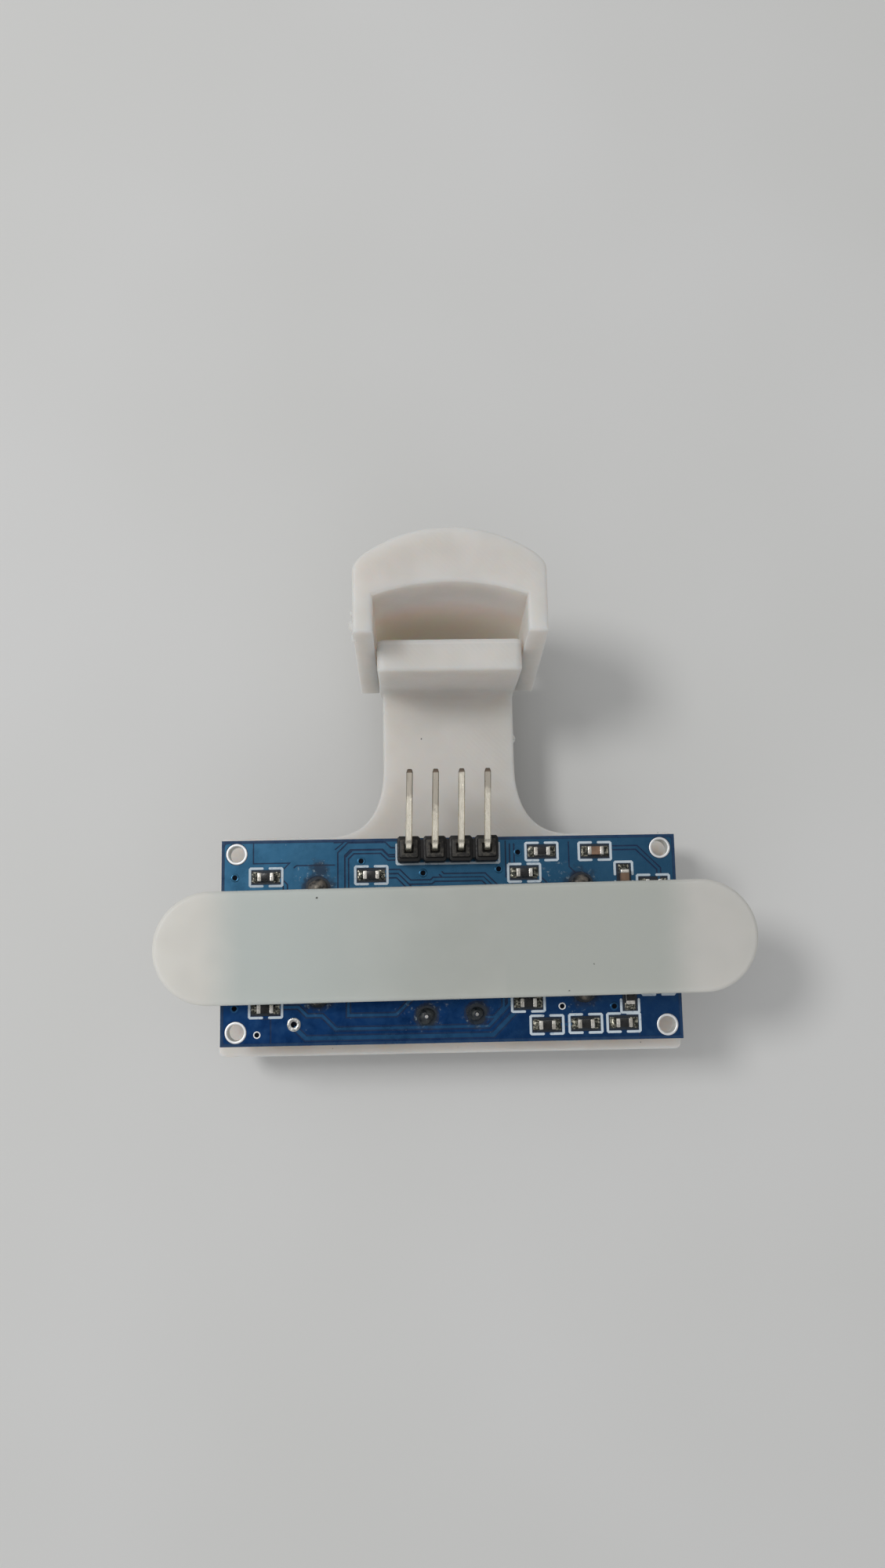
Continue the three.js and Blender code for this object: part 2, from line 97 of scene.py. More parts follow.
CHIP = {"pitch": 1.27, "width": 3.9, "stand": 0.12, "draft": 0.12}
COPPER = 0.035  # height of the copper under the solder mask
GROOVE = 0.12  # gap between one copper area and the next
RIM = 0.3  # strip along the board's edge that has no copper
INK = 0.26  # width of a printed line on the board
RESISTORS = [f"resistor_{i}" for i in range(1, 18)]
CHIP_PARTS = RESISTORS + [f"capacitor_{i}" for i in range(1, 5)]


def on_board(x, y):
    """A place on the board, from its middle, in the row frame."""
    return BOARD.mid.x + x, BOARD.mid.y + y


# ---- camera
# Held level above the board and tipped a little towards the collar.
LENS, SENSOR = 27, 36
CAMERA_PLACE = Vector((-3.07, -2.28, 116.43))  # from the middle of the board's back
CAMERA_TURNS = (("X", -8.63), ("Y", 1.24), ("Z", 0.88))  # world to camera, in this order, in degrees


def linked(name, data):
    """A new object in the scene."""
    made = bpy.data.objects.new(name, data)
    bpy.context.scene.collection.objects.link(made)
    return made


def add_camera():
    data = bpy.data.cameras.new("camera")
    data.lens, data.sensor_width = LENS, SENSOR
    data.clip_start, data.clip_end = 0.005, 20
    camera = linked("camera", data)
    to_camera = Matrix.Identity(3)
    for axis, degrees in CAMERA_TURNS:
        to_camera = Matrix.Rotation(math.radians(degrees), 3, axis) @ to_camera
    place = (Vector((BOARD.mid.x, BOARD.mid.y, BACK)) + CAMERA_PLACE) * MM
    camera.matrix_world = Matrix.Translation(place) @ to_camera.transposed().to_4x4()
    bpy.context.scene.camera = camera


add_camera()


# ---- outlines, as lists of (x, y)
def arc(x, y, radius, start, end, steps):
    """Points on an arc from start to end, in degrees."""
    turns = [math.radians(start + (end - start) * k / steps) for k in range(steps + 1)]
    return [(x + radius * math.cos(t), y + radius * math.sin(t)) for t in turns]


def circle(x, y, radius, steps=48):
    return arc(x, y, radius, 0, 360, steps)[:-1]


def quarter(steps):
    """(cosine, sine) at even steps of a quarter turn."""
    return [(math.cos(math.pi / 2 * k / steps), math.sin(math.pi / 2 * k / steps)) for k in range(steps + 1)]


def chamfered(half_width, half_depth, cut):
    """A rectangle round the origin with its corners cut off at 45 degrees."""
    a, b = half_width, half_depth
    return [(a - cut, -b), (a, -b + cut), (a, b - cut), (a - cut, b),
            (-a + cut, b), (-a, b - cut), (-a, -b + cut), (-a + cut, -b)]


def quadratic(start, control, end, steps):
    """A curve from start to end that leaves and arrives in line with control."""
    points = []
    for k in range(steps + 1):
        t = k / steps
        weights = ((1 - t) ** 2, 2 * t * (1 - t), t ** 2)
        points.append(tuple(sum(w * p[i] for w, p in zip(weights, (start, control, end))) for i in (0, 1)))
    return points


def rounded_rectangle(width, depth, corner, x=0.0, y=0.0, steps=4):
    points = []
    for k, (sx, sy) in enumerate(((1, 1), (-1, 1), (-1, -1), (1, -1))):
        centre = (x + sx * (width / 2 - corner), y + sy * (depth / 2 - corner))
        points += arc(*centre, corner, 90 * k, 90 * k + 90, steps)
    return points


def stadium(length, width, x, y, turn, steps):
    """A strip with half-round ends."""
    reach, radius = (length - width) / 2, width / 2
    points = arc(reach, 0, radius, -90, 90, steps) + arc(-reach, 0, radius, 90, 270, steps)
    c, s = math.cos(turn), math.sin(turn)
    return [(x + c * px - s * py, y + s * px + c * py) for px, py in points]


# ---- shells: (vertices, faces) in millimetres
def loft(rings, ring_shaped=False):
    """A closed shell through rings of equally many points, capped at its ends unless it closes on itself."""
    count = len(rings[0])
    verts = [point for ring in rings for point in ring]
    faces = []
    for r in range(len(rings) - (0 if ring_shaped else 1)):
        a, b = r * count, (r + 1) % len(rings) * count
        faces += [(a + i, a + (i + 1) % count, b + (i + 1) % count, b + i) for i in range(count)]
    if not ring_shaped:
        last = (len(rings) - 1) * count
        faces += [tuple(reversed(range(count))), tuple(range(last, last + count))]
    return verts, faces


def pillow(outline, low, high, ease, steps=3):
    """A prism with rounded edges. outline(inset) gives its points at that distance inside its edge."""
    levels = [(ease * (1 - s), ease * (1 - c)) for c, s in quarter(steps)]
    rings = [[(x, y, low + drop) for x, y in outline(inset)] for inset, drop in levels]
    rings += [[(x, y, high - drop) for x, y in outline(inset)] for inset, drop in reversed(levels)]
    return loft(rings)


def block(width, depth, corner, x, y, low, high, ease, steps=2, corner_steps=3):
    """A pillow whose outline is a rounded rectangle."""
    outline = lambda inset: rounded_rectangle(width - 2 * inset, depth - 2 * inset, corner, x, y,
                                              corner_steps)
    return pillow(outline, low, high, ease, steps)


def turned(profile, x=0.0, y=0.0, sides=48, ring_shaped=False, wobble=None):
    """A solid of revolution from (radius, height) points. wobble(angle) scales the radius."""
    verts, rings = [], []
    for radius, height in profile:
        start = len(verts)
        count = sides if radius > 1e-6 else 1
        for k in range(count):
            angle = 2 * math.pi * k / sides
            r = radius * (wobble(angle) if wobble else 1)
            verts.append((x + r * math.cos(angle), y + r * math.sin(angle), height))
        rings.append(range(start, start + count))
    pairs = list(zip(rings, rings[1:])) + ([(rings[-1], rings[0])] if ring_shaped else [])
    faces = []
    for a, b in pairs:
        for k in range(sides):
            corners = (a[k % len(a)], a[(k + 1) % len(a)], b[(k + 1) % len(b)], b[k % len(b)])
            faces.append(tuple(dict.fromkeys(corners)))
    return verts, faces


def mitres(points):
    """The sideways unit of a line at each of its points, lengthened at corners so that the width holds."""
    normals = []
    for (ax, ay), (bx, by) in zip(points, points[1:]):
        along = Vector((bx - ax, by - ay)).normalized()
        normals.append(Vector((-along.y, along.x)))
    pairs = zip([normals[0], *normals], [*normals, normals[-1]])
    return [(a + b) / max(0.3, 1 + a.dot(b)) for a, b in pairs]


def ribbon(points, width, low, high, slope=0.0, tip=0.0):
    """A flat strip along a line of points on the board, narrower at its top by slope on each side.
    tip is how far its narrowed ends run past the line."""
    stations = [(x, y, side, 1.0) for (x, y), side in zip(points, mitres(points))]
    if tip:
        ends = []
        for (x, y, side, _), sign in ((stations[0], -1), (stations[-1], 1)):
            ends.append((x + sign * side.y * tip, y - sign * side.x * tip, side, 0.55))
        stations = [ends[0], *stations, ends[1]]
    rings = []
    for x, y, side, share in stations:
        foot, top = side * width / 2 * share, side * (width / 2 * share - slope)
        rings.append([(x - foot.x, y - foot.y, low), (x + foot.x, y + foot.y, low),
                      (x + top.x, y + top.y, high), (x - top.x, y - top.y, high)])
    return loft(rings)


def eased(line, cut):
    """A line with each inner corner cut off at that distance from it."""
    points = [line[0]]
    for before, corner, after in zip(line, line[1:], line[2:]):
        for other in (before, after):
            towards = Vector(other) - Vector(corner)
            points.append(tuple(Vector(corner) + towards.normalized() * min(cut, towards.length / 2)))
    return points + [line[-1]]


def swept(path, section, side):
    """A section carried along a path. The path lies in the plane that side is upright to, and each of its
    points is (point, scale). The section's points are (along side, along the path's normal)."""
    side = Vector(side)
    rings = []
    for i, (point, scale) in enumerate(path):
        tangents = [(Vector(path[k + 1][0]) - Vector(path[k][0])).normalized()
                    for k in (i - 1, i) if 0 <= k < len(path) - 1]
        tangent = sum(tangents, Vector()).normalized()
        stretch = 1 / max(0.5, tangent.dot(tangents[0]))
        normal = tangent.cross(side)
        rings.append([tuple(Vector(point) + side * a * scale + normal * b * scale * stretch)
                      for a, b in section])
    return loft(rings)


def moved(shell, matrix):
    verts, faces = shell
    return [tuple(matrix @ Vector(v)) for v in verts], faces


def shifted(shell, x, y):
    return moved(shell, Matrix.Translation((x, y, 0)))


def joined(shells):
    """Several shells as one list of vertices and faces."""
    verts, faces = [], []
    for shell_verts, shell_faces in shells:
        start = len(verts)
        verts += shell_verts
        faces += [tuple(i + start for i in face) for face in shell_faces]
    return verts, faces


def slab(outlines, low, high, ease, steps=3):
    """A plate from closed outlines, its edge first and then its holes, with rounded edges all round."""
    curve = bpy.data.curves.new("slab", "CURVE")
    curve.dimensions, curve.fill_mode = "2D", "BOTH"
    curve.extrude = (high - low) / 2 - ease
    curve.bevel_depth, curve.bevel_resolution = ease, steps - 1
    curve.offset = -ease
    for outline in outlines:
        spline = curve.splines.new("POLY")
        spline.points.add(len(outline) - 1)
        for point, (x, y) in zip(spline.points, outline):
            point.co = (x, y, 0, 1)
        spline.use_cyclic_u = True
    shell = evaluated(linked("slab", curve), (low + high) / 2)
    bpy.data.curves.remove(curve)
    return shell


def evaluated(holder, lift=0.0):
    """The shell that an object comes to with its modifiers, shared vertices merged. The object is removed."""
    graph = bpy.context.evaluated_depsgraph_get()
    mesh = bpy.data.meshes.new_from_object(holder.evaluated_get(graph))
    work = bmesh.new()
    work.from_mesh(mesh)
    bmesh.ops.remove_doubles(work, verts=work.verts, dist=1e-4)
    bmesh.ops.dissolve_degenerate(work, edges=work.edges, dist=1e-4)
    work.verts.index_update()
    verts = [(v.co.x, v.co.y, v.co.z + lift) for v in work.verts]
    faces = [tuple(v.index for v in f.verts) for f in work.faces]
    work.free()
    bpy.data.meshes.remove(mesh)
    bpy.data.objects.remove(holder)
    return verts, faces


def bare_object(shell):
    """A shell as a temporary object in millimetres, with its faces pointing out."""
    mesh = bpy.data.meshes.new("shell")
    mesh.from_pydata(shell[0], [], shell[1])
    outwards(mesh)
    return linked("shell", mesh)


def outwards(mesh):
    """Turns the faces of a closed mesh to point out."""
    work = bmesh.new()
    work.from_mesh(mesh)
    bmesh.ops.recalc_face_normals(work, faces=work.faces)
    work.to_mesh(mesh)
    work.free()


def combined(operation, base, others):
    """base joined with (UNION) or cut by (DIFFERENCE) the other shells."""
    target, tool = bare_object(base), bare_object(joined(others))
    modifier = target.modifiers.new("boolean", "BOOLEAN")
    modifier.operation, modifier.solver, modifier.use_self = operation, "EXACT", True
    modifier.object = tool
    shell = evaluated(target)
    bpy.data.objects.remove(tool)
    return shell


# ---- pieces
def piece(name, parts, replaces=(), body=BOARD_BODY, crease=35.0):
    """One object in place, riding on a body. parts has the shells in each look: a key of LOOKS, or a pair of
    keys, the first for level faces and the second for upright sides."""
    shells = [shell for group in parts.values() for shell in group]
    verts, faces = joined(shells)
    mesh = bpy.data.meshes.new(name)
    mesh.from_pydata([(x * MM, y * MM, z * MM) for x, y, z in verts], [], faces)
    pairs = [look if isinstance(look, tuple) else (look, look) for look in parts]
    keys = list(dict.fromkeys(key for pair in pairs for key in pair))
    for key in keys:
        mesh.materials.append(LOOKS[key])
    outwards(mesh)
    start = 0
    for (level, upright), group in zip(pairs, parts.values()):
        count = sum(len(shell_faces) for _, shell_faces in group)
        for polygon in mesh.polygons[start:start + count]:
            polygon.material_index = keys.index(level if abs(polygon.normal.z) > 0.5 else upright)
        start += count
    mesh.shade_smooth()
    mesh.set_sharp_from_angle(angle=math.radians(crease))
    made = linked(name, mesh)
    weighted = made.modifiers.new("normals", "WEIGHTED_NORMAL")
    weighted.keep_sharp = True
    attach(made, body)
    if replaces:
        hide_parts(*replaces)


# ---- node trees
def linear(colour):
    """The linear colour, with alpha, that a node takes for three sRGB values."""
    shares = (value / 255 for value in colour)
    return (*(c / 12.92 if c <= 0.04045 else ((c + 0.055) / 1.055) ** 2.4 for c in shares), 1.0)


class Value:
    """A number, colour or vector out of a node. Sums with it add nodes to the same tree."""

    def __init__(self, nodes, socket):
        self.nodes, self.socket = nodes, socket

    def __add__(self, other):
        return self.nodes.math("ADD", self, other)

    def __radd__(self, other):
        return self.nodes.math("ADD", other, self)

    def __sub__(self, other):
        return self.nodes.math("SUBTRACT", self, other)

    def __rsub__(self, other):
        return self.nodes.math("SUBTRACT", other, self)

    def __mul__(self, other):
        return self.nodes.math("MULTIPLY", self, other)

    def __truediv__(self, other):
        return self.nodes.math("DIVIDE", self, other)

    def __abs__(self):
        return self.nodes.math("ABSOLUTE", self)


class Nodes:
    """A node tree while it is built."""

    def __init__(self, tree):
        self.tree = tree

    def feed(self, socket, value):
        """value is a Value, or what a socket takes. A colour socket takes three sRGB values from 0 to 255."""
        if isinstance(value, Value):
            self.tree.links.new(value.socket, socket)
        else:
            socket.default_value = linear(value) if socket.type == "RGBA" else value

    def node(self, kind, inputs=None, **settings):
        """All outputs of a new node."""
        made = self.tree.nodes.new("ShaderNode" + kind)
        for key, setting in settings.items():
            setattr(made, key, setting)
        for key, value in (inputs or {}).items():
            self.feed(made.inputs[key], value)
        return made.outputs

    def value(self, output, *arguments, **settings):
        """One output of a new node."""
        return Value(self, self.node(*arguments, **settings)[output])

    def math(self, operation, *numbers):
        return self.value(0, "Math", dict(enumerate(numbers)), operation=operation)

    def split(self, vector):
        return [Value(self, socket) for socket in self.node("SeparateXYZ", {0: vector})]

    def ramp(self, value, start, end, low=0.0, high=1.0):
        """low below start, high above end, and smooth between them."""
        inputs = {"Value": value, "From Min": start, "From Max": end, "To Min": low, "To Max": high}
        return self.value(0, "MapRange", inputs, interpolation_type="SMOOTHSTEP")


class Look(Nodes):
    """A material while it is built. constants are the shader's inputs that are the same all over."""

    def __init__(self, name, **constants):
        self.material = bpy.data.materials.new(name)
        self.material.use_nodes = True
        super().__init__(self.material.node_tree)
        self.shader = self.tree.nodes["Principled BSDF"]
        self.give(**constants)
        place = self.value("Object", "TexCoord")
        self.place = self.value(0, "VectorMath", {0: place, "Scale": 1 / MM}, operation="SCALE")
        self.x, self.y, self.z = self.split(self.place)

    def noise(self, size, detail=3.0, stretch=(1, 1, 1), roughness=0.55, shift=0.0):
        """Noise whose features are about size millimetres across."""
        place = self.value(0, "VectorMath", {0: self.place, 1: stretch}, operation="MULTIPLY")
        place = self.value(0, "VectorMath", {0: place, 1: (shift, shift, shift)}, operation="ADD")
        inputs = {"Vector": place, "Scale": 1 / size, "Detail": detail, "Roughness": roughness}
        return self.value("Fac", "TexNoise", inputs)

    def cells(self, scale):
        """Distance to the nearest of many scattered points."""
        return self.value("Distance", "TexVoronoi", {"Vector": self.place, "Scale": scale})

    def mix(self, share, a, b):
        """Colour a, with that share of colour b."""
        return self.value(2, "Mix", {0: share, 6: a, 7: b}, data_type="RGBA")

    def clouded(self, value, start, end, a, b):
        """Colour a where the value is below start, b where it is above end."""
        return self.mix(self.ramp(value, start, end), a, b)

    def bump(self, height, depth, strength=1.0, under=None):
        """A bump from a height of 0 to 1 that stands for depth millimetres."""
        inputs = {"Height": height, "Strength": strength, "Distance": depth * MM}
        if under is not None:
            inputs["Normal"] = under
        return self.value(0, "Bump", inputs)

    def distance_to(self, x, y):
        """Distance in millimetres from an upright line at (x, y)."""
        level = self.value(0, "CombineXYZ", {0: self.x, 1: self.y})
        return self.value("Value", "VectorMath", {0: level, 1: (x, y, 0)}, operation="DISTANCE")

    def give(self, **inputs):
        """Feeds the shader's inputs, named with underscores for spaces."""
        for key, value in inputs.items():
            self.feed(self.shader.inputs[key.replace("_", " ")], value)

    def done(self, tint, rough, normal, **inputs):
        """The material, with its shader fed."""
        self.give(Base_Color=tint, Roughness=rough, Normal=normal, **inputs)
        return self.material


# ---- materials
def slot_painted_light(look):
    """1 low down in the slot between tab and collar, 0 elsewhere: there the faces are painted paler and
    warmer, painted light in place of the light that comes through the translucent walls.
    """
    sink = COLLAR.high.z - look.z
    bottom = COLLAR.size.z
    deep = look.ramp(sink, 2.5, 10.0) * look.ramp(sink, bottom - 0.8, bottom - 0.3, 1.0, 0.0)
    upright_y = look.y + sink * math.tan(COLLAR_SHAPE["lean"])
    tab_back, arc_top = BOARD.mid.y + TAB["back"], BOARD.mid.y + COLLAR_SHAPE["inner_arc"]
    behind_tab = look.ramp(upright_y, tab_back - 0.1, tab_back - 0.04)
    before_arch = look.ramp(upright_y, arc_top + 0.1, arc_top + 0.2, 1.0, 0.0)
    from_middle = abs(look.x - (BOARD.mid.x + CLIP_X))
    half = COLLAR_SHAPE["inner"] / 2
    between_legs = look.ramp(from_middle, half + 0.04, half + 0.1, 1.0, 0.0)
    return deep * (behind_tab * before_arch) * between_legs


def printed_plastic():
    """White print: faint lines side by side on level faces, layers one above the other on upright ones. Faces
    low in the slot behind the tab are painted paler and warmer, painted light.
    """
    look = Look("white_print", IOR=1.46, Subsurface_Weight=1.0, Subsurface_Radius=(1.0, 0.76, 0.62),
                Subsurface_Scale=0.005, Specular_IOR_Level=0.35)
    upward = look.split(look.value("Normal", "NewGeometry"))[2]
    level = look.ramp(abs(upward), 0.5, 0.8)
    line_width, layer_height = 0.6, 0.22
    diagonal = look.x + look.y
    raster = look.math("SINE", (diagonal + look.noise(3.0) * 0.5) * (2 * math.pi / line_width))
    layers = look.math("SINE", look.z * (2 * math.pi / layer_height))
    raster = raster * look.ramp(look.noise(8.0, detail=2, shift=3.0), 0.4, 0.65, 0.05, 0.4)
    lines = look.value(0, "Mix", {0: level, 2: layers, 3: raster}, data_type="FLOAT")
    fine = look.noise(0.35, detail=5)
    broad = look.noise(6.0, detail=2, shift=11.0)
    tint = look.clouded(broad, 0.35, 0.65, (216, 213, 208), (223, 220, 216))
    speck = look.cells(0.46) + look.noise(0.15) * 0.05
    on_neck = look.ramp(look.y, BOARD.high.y + 12, BOARD.high.y + 13, 0.85, 0.0)
    tint = look.mix(on_neck * look.ramp(speck, 0.055, 0.07, 1.0, 0.0), tint, (52, 48, 46))
    # painted light: faces low in the slot are painted paler and warmer than the rest of the print
    tint = look.mix(slot_painted_light(look), tint, (253, 244, 237))
    normal_map = look.bump(look.ramp(lines, -1, 1), 0.03, 0.45)
    normal_map = look.bump(fine, 0.02, 0.4, normal_map)
    return look.done(tint, look.ramp(fine, 0.3, 0.7, 0.38, 0.58), normal_map)


def bar_plastic():
    """Milky plastic, warm white past the board's ends. Over the board it is painted grey-green, painted shade
    for the dark board under it; it is painted lighter towards its left end (painted light) and has a darker
    painted step just right of the middle (painted shade).
    """
    look = Look("milky_plastic", IOR=1.47, Subsurface_Weight=0.5, Subsurface_Radius=(1.0, 0.95, 0.85),
                Subsurface_Scale=0.002, Specular_IOR_Level=0.35)
    middle_x, half = BOARD.mid.x, BOARD.size.x / 2
    from_middle = abs(look.x - middle_x) + look.noise(2.5) * 1.2
    # painted shade: over the board the plastic is coloured grey-green, as if the dark board showed through it
    painted_shade_over_board = look.ramp(from_middle, half - 2.4, half + 2.4, 1.0, 0.0)
    cloud = look.ramp(look.noise(7.0, detail=2), 0.3, 0.7)
    middle = look.mix(cloud, (187, 190, 184), (194, 196, 190))
    # painted light: lighter towards the left end, both over the board and past it
    left = look.ramp(look.x, middle_x - 20, middle_x + 3, 1.0, 0.0)
    middle = look.mix(left, middle, (200, 206, 202))
    # painted shade: a darker step just right of the board's middle
    middle = look.clouded(look.x, middle_x + 4.9, middle_x + 5.4, middle, (189, 192, 186))
    ends = look.mix(cloud, (206, 205, 200), (212, 210, 205))
    ends = look.mix(left, ends, look.mix(cloud, (221, 219, 213), (228, 226, 220)))
    tint = look.mix(painted_shade_over_board, ends, middle)
    speck = look.cells(0.22) + look.noise(0.2, detail=4) * 0.08
    tint = look.mix(look.ramp(speck, 0.05, 0.06, 1.0, 0.0), tint, (58, 60, 54))
    waves = look.noise(2.2, detail=2, stretch=(0.6, 1.2, 1.0))
    normal_map = look.bump(waves, 0.05, 0.35)
    normal_map = look.bump(look.noise(0.25, detail=4), 0.008, 0.5, normal_map)
    return look.done(tint, look.ramp(waves, 0.3, 0.7, 0.34, 0.44), normal_map)


def solder_mask(joints, smears):
    """Blue mask. Over copper it has a metal's sheen, and between the copper areas it is plain and deeper.
    Painted light and shade run across it: lighter towards +Y, deeper towards -Y and greyer towards +X.
    Brown flux lies round the hand-soldered joints, and pale residue round both joints and smears.
    Each of those is (x, y, radius)."""
    look = Look("blue_mask", IOR=1.5, Coat_Weight=0.05, Coat_Roughness=0.15, Specular_IOR_Level=0.3)
    on_back = look.ramp(look.z, BACK + 0.012, BACK + 0.026)
    on_front = look.ramp(look.z, FRONT - 0.026, FRONT - 0.012, 1.0, 0.0)
    copper = look.math("MAXIMUM", on_back, on_front)
    cloud = look.ramp(look.noise(9.0, detail=2), 0.3, 0.7)
    # painted light and shade: over copper the mask is painted lighter towards +Y, deeper blue towards -Y and
    # greyer towards +X
    rise = look.ramp(look.y, BOARD.mid.y - 6, BOARD.mid.y + 6)
    run = look.ramp(look.x, BOARD.mid.x, BOARD.mid.x + 18, 0.0, 0.35)
    painted_shade_low_side = look.mix(cloud, (10, 52, 104), (18, 64, 116))
    painted_light_high_side = look.mix(cloud, (44, 92, 124), (56, 104, 136))
    over_copper = look.mix(run, look.mix(rise, painted_shade_low_side, painted_light_high_side), (32, 66, 98))
    between = look.mix(rise, (9, 42, 84), look.mix(cloud, (7, 36, 72), (12, 44, 82)))
    past_x = abs(look.x - BOARD.mid.x) - (BOARD.size.x / 2 - RIM)
    past_y = abs(look.y - BOARD.mid.y) - (BOARD.size.y / 2 - RIM)
    rim = look.ramp(look.math("MAXIMUM", past_x, past_y), 0.0, 0.08)
    between = look.mix(rim * 0.7, between, (22, 62, 100))
    tint = look.mix(copper, between, over_copper)
    # painted highlight: raised tracks are painted lighter, most on the darker -Y half
    track_painted_highlight = look.ramp(look.z, BACK + COPPER + 0.004, BACK + COPPER + 0.01, 0.0, 0.6)
    tint = look.mix(track_painted_highlight * (1.0 - rise), tint, (48, 98, 138))
    mottle = look.ramp(look.noise(0.8, detail=5), 0.35, 0.75, 0.0, 0.1)
    tint = look.mix(mottle, tint, (84, 124, 150))
    ragged = (look.noise(0.7, detail=4, shift=5.0) - 0.5) * 2.0

    def round_each(places, start, end):
        """1 within start of a place's radius, falling to 0 at end past it."""
        most = 0.0
        for x, y, radius in places:
            reach = look.distance_to(x, y) + ragged
            most = look.math("MAXIMUM", most, look.ramp(reach, radius + start, radius + end, 1.0, 0.0))
        return most

    stain = round_each(joints, 0.1, 1.0) * 0.75
    smear = round_each([*joints, *smears], 0.3, 1.2)
    tint = look.mix(stain, tint, (18, 32, 54))
    flakes = look.ramp(look.noise(0.45, detail=6, roughness=0.7, shift=21.0), 0.55, 0.7)
    flakes = smear * flakes * 0.6
    tint = look.mix(flakes, tint, (170, 184, 188))
    tint = look.mix(look.ramp(look.cells(0.9), 0.02, 0.045, 0.35, 0.0), tint, (190, 200, 205))  # dust
    clean = 1.0 - look.math("MAXIMUM", stain, flakes)
    sheen = copper * clean * 0.85
    rough = look.ramp(look.noise(1.6), 0.3, 0.7, 0.24, 0.36) + smear * 0.12
    normal_map = look.bump(look.noise(1.1, detail=3), 0.012, 0.6)
    normal_map = look.bump(look.noise(0.2, detail=3), 0.004, 0.5, normal_map)
    return look.done(tint, rough, normal_map, Metallic=sheen)


def laminate():
    """The board's cut edge: woven glass in resin, in thin level layers."""
    look = Look("laminate_edge", IOR=1.5)
    layers = look.math("SINE", look.z * (2 * math.pi / 0.2))
    fibres = look.noise(0.15, detail=5, stretch=(0.3, 0.3, 3.0))
    tint = look.clouded(fibres, 0.35, 0.65, (144, 139, 108), (184, 179, 150))
    tint = look.clouded(abs(look.z - BOARD.mid.z), 0.68, 0.74, tint, (30, 74, 120))
    return look.done(tint, look.ramp(fibres, 0.3, 0.7, 0.5, 0.75),
                     look.bump(look.ramp(layers, -1, 1), 0.01, 0.5))


def board_ink():
    look = Look("board_ink", IOR=1.45)
    wear = look.noise(0.5, detail=5, roughness=0.7)
    tint = look.clouded(wear, 0.3, 0.44, (150, 174, 196), (212, 224, 233))
    return look.done(tint, look.ramp(look.noise(0.3), 0.3, 0.7, 0.45, 0.65),
                     look.bump(look.noise(0.12, detail=4), 0.01, 0.6))


def metal(name, pale, dark, size, rough, bump, stretch=(1, 1, 1)):
    """A metal that clouds between two colours, with streaks or grain of that size in millimetres."""
    look = Look(name, Metallic=1.0)
    cloud = look.noise(size * 4, detail=3, stretch=stretch)
    grain = look.noise(size, detail=5, stretch=stretch, shift=7.0)
    return look.done(look.clouded(cloud, 0.35, 0.68, pale, dark), look.ramp(grain, 0.3, 0.7, *rough),
                     look.bump(grain, bump, 0.7))


def dielectric(name, pale, dark, size, rough, bump, **constants):
    """A plastic, resin or ceramic that clouds between two colours."""
    look = Look(name, **constants)
    cloud = look.noise(size * 5, detail=3)
    grain = look.noise(size, detail=5, shift=13.0)
    return look.done(look.clouded(cloud, 0.35, 0.65, dark, pale), look.ramp(grain, 0.3, 0.7, *rough),
                     look.bump(grain, bump, 0.7))


def pin_metal(way, dull_length):
    """Tin plate, brown at the tip and dull for dull_length millimetres from it."""
    look = Look(f"pin_plate_{way}", Metallic=1.0)
    streaks = look.noise(0.16, detail=3, stretch=(3.0, 0.12, 3.0))
    edge = (look.noise(0.5, detail=4) - 0.5) * 1.6
    from_tip = Box(f"header_pin_{way}").high.y - look.y
    dull = look.ramp(from_tip + edge, dull_length - 0.5, dull_length + 0.5, 1.0, 0.0)
    tip = look.ramp(from_tip, PIN["tip"] - 0.04, PIN["tip"] + 0.06, 1.0, 0.0)
    tint = look.clouded(streaks, 0.3, 0.7, (250, 244, 228), (214, 206, 190))
    tint = look.mix(dull * 0.75, tint, (150, 142, 132))
    tint = look.mix(tip * 0.85, tint, (104, 88, 76))
    pits = look.noise(0.2, detail=2, shift=17.0 + way)
    tint = look.clouded(pits, 0.7, 0.75, tint, (84, 72, 62))
    rough = look.ramp(streaks, 0.3, 0.7, 0.16, 0.3) + dull * 0.2
    return look.done(tint, rough, look.bump(streaks, 0.012, 0.8))


def fluxed_solder(name, pale, dark):
    """Solder under a skin of flux."""
    look = Look(name, Metallic=0.25, Coat_Weight=0.25, Coat_Roughness=0.4, IOR=1.5)
    skin = look.ramp(look.noise(0.7, detail=4, shift=9.0), 0.4, 0.62)
    return look.done(look.mix(skin, dark, pale), look.ramp(skin, 0, 1, 0.4, 0.6),
                     look.bump(look.noise(0.35, detail=5), 0.12, 0.9))


def pad_solder():
    """Solder on a chip part's pads: bright where clean, dark where flux has dried on it."""
    look = Look("pad_solder", Metallic=0.85)
    dark = look.ramp(look.noise(0.26, detail=6, roughness=0.7, shift=41.0), 0.34, 0.54)
    return look.done(look.mix(dark, (206, 202, 184), (56, 58, 54)), look.ramp(dark, 0, 1, 0.22, 0.5),
                     look.bump(look.noise(0.16, detail=5), 0.06, 0.8))


def header_plastic():
    """Black plastic, rubbed grey on the tops of the bosses."""
    look = Look("header_plastic", IOR=1.5, Specular_IOR_Level=0.4)
    on_top = look.ramp(look.z, HEADER.high.z - 0.09, HEADER.high.z - 0.02)
    rub = look.ramp(look.noise(0.28, detail=6, roughness=0.7), 0.4, 0.62)
    tint = look.mix(look.noise(1.2), (13, 12, 12), (24, 22, 21))
    tint = look.mix(on_top * (rub * 0.6), tint, (92, 88, 80))
    return look.done(tint, 0.42 + rub * 0.2, look.bump(look.noise(0.12, detail=4), 0.02, 0.6))


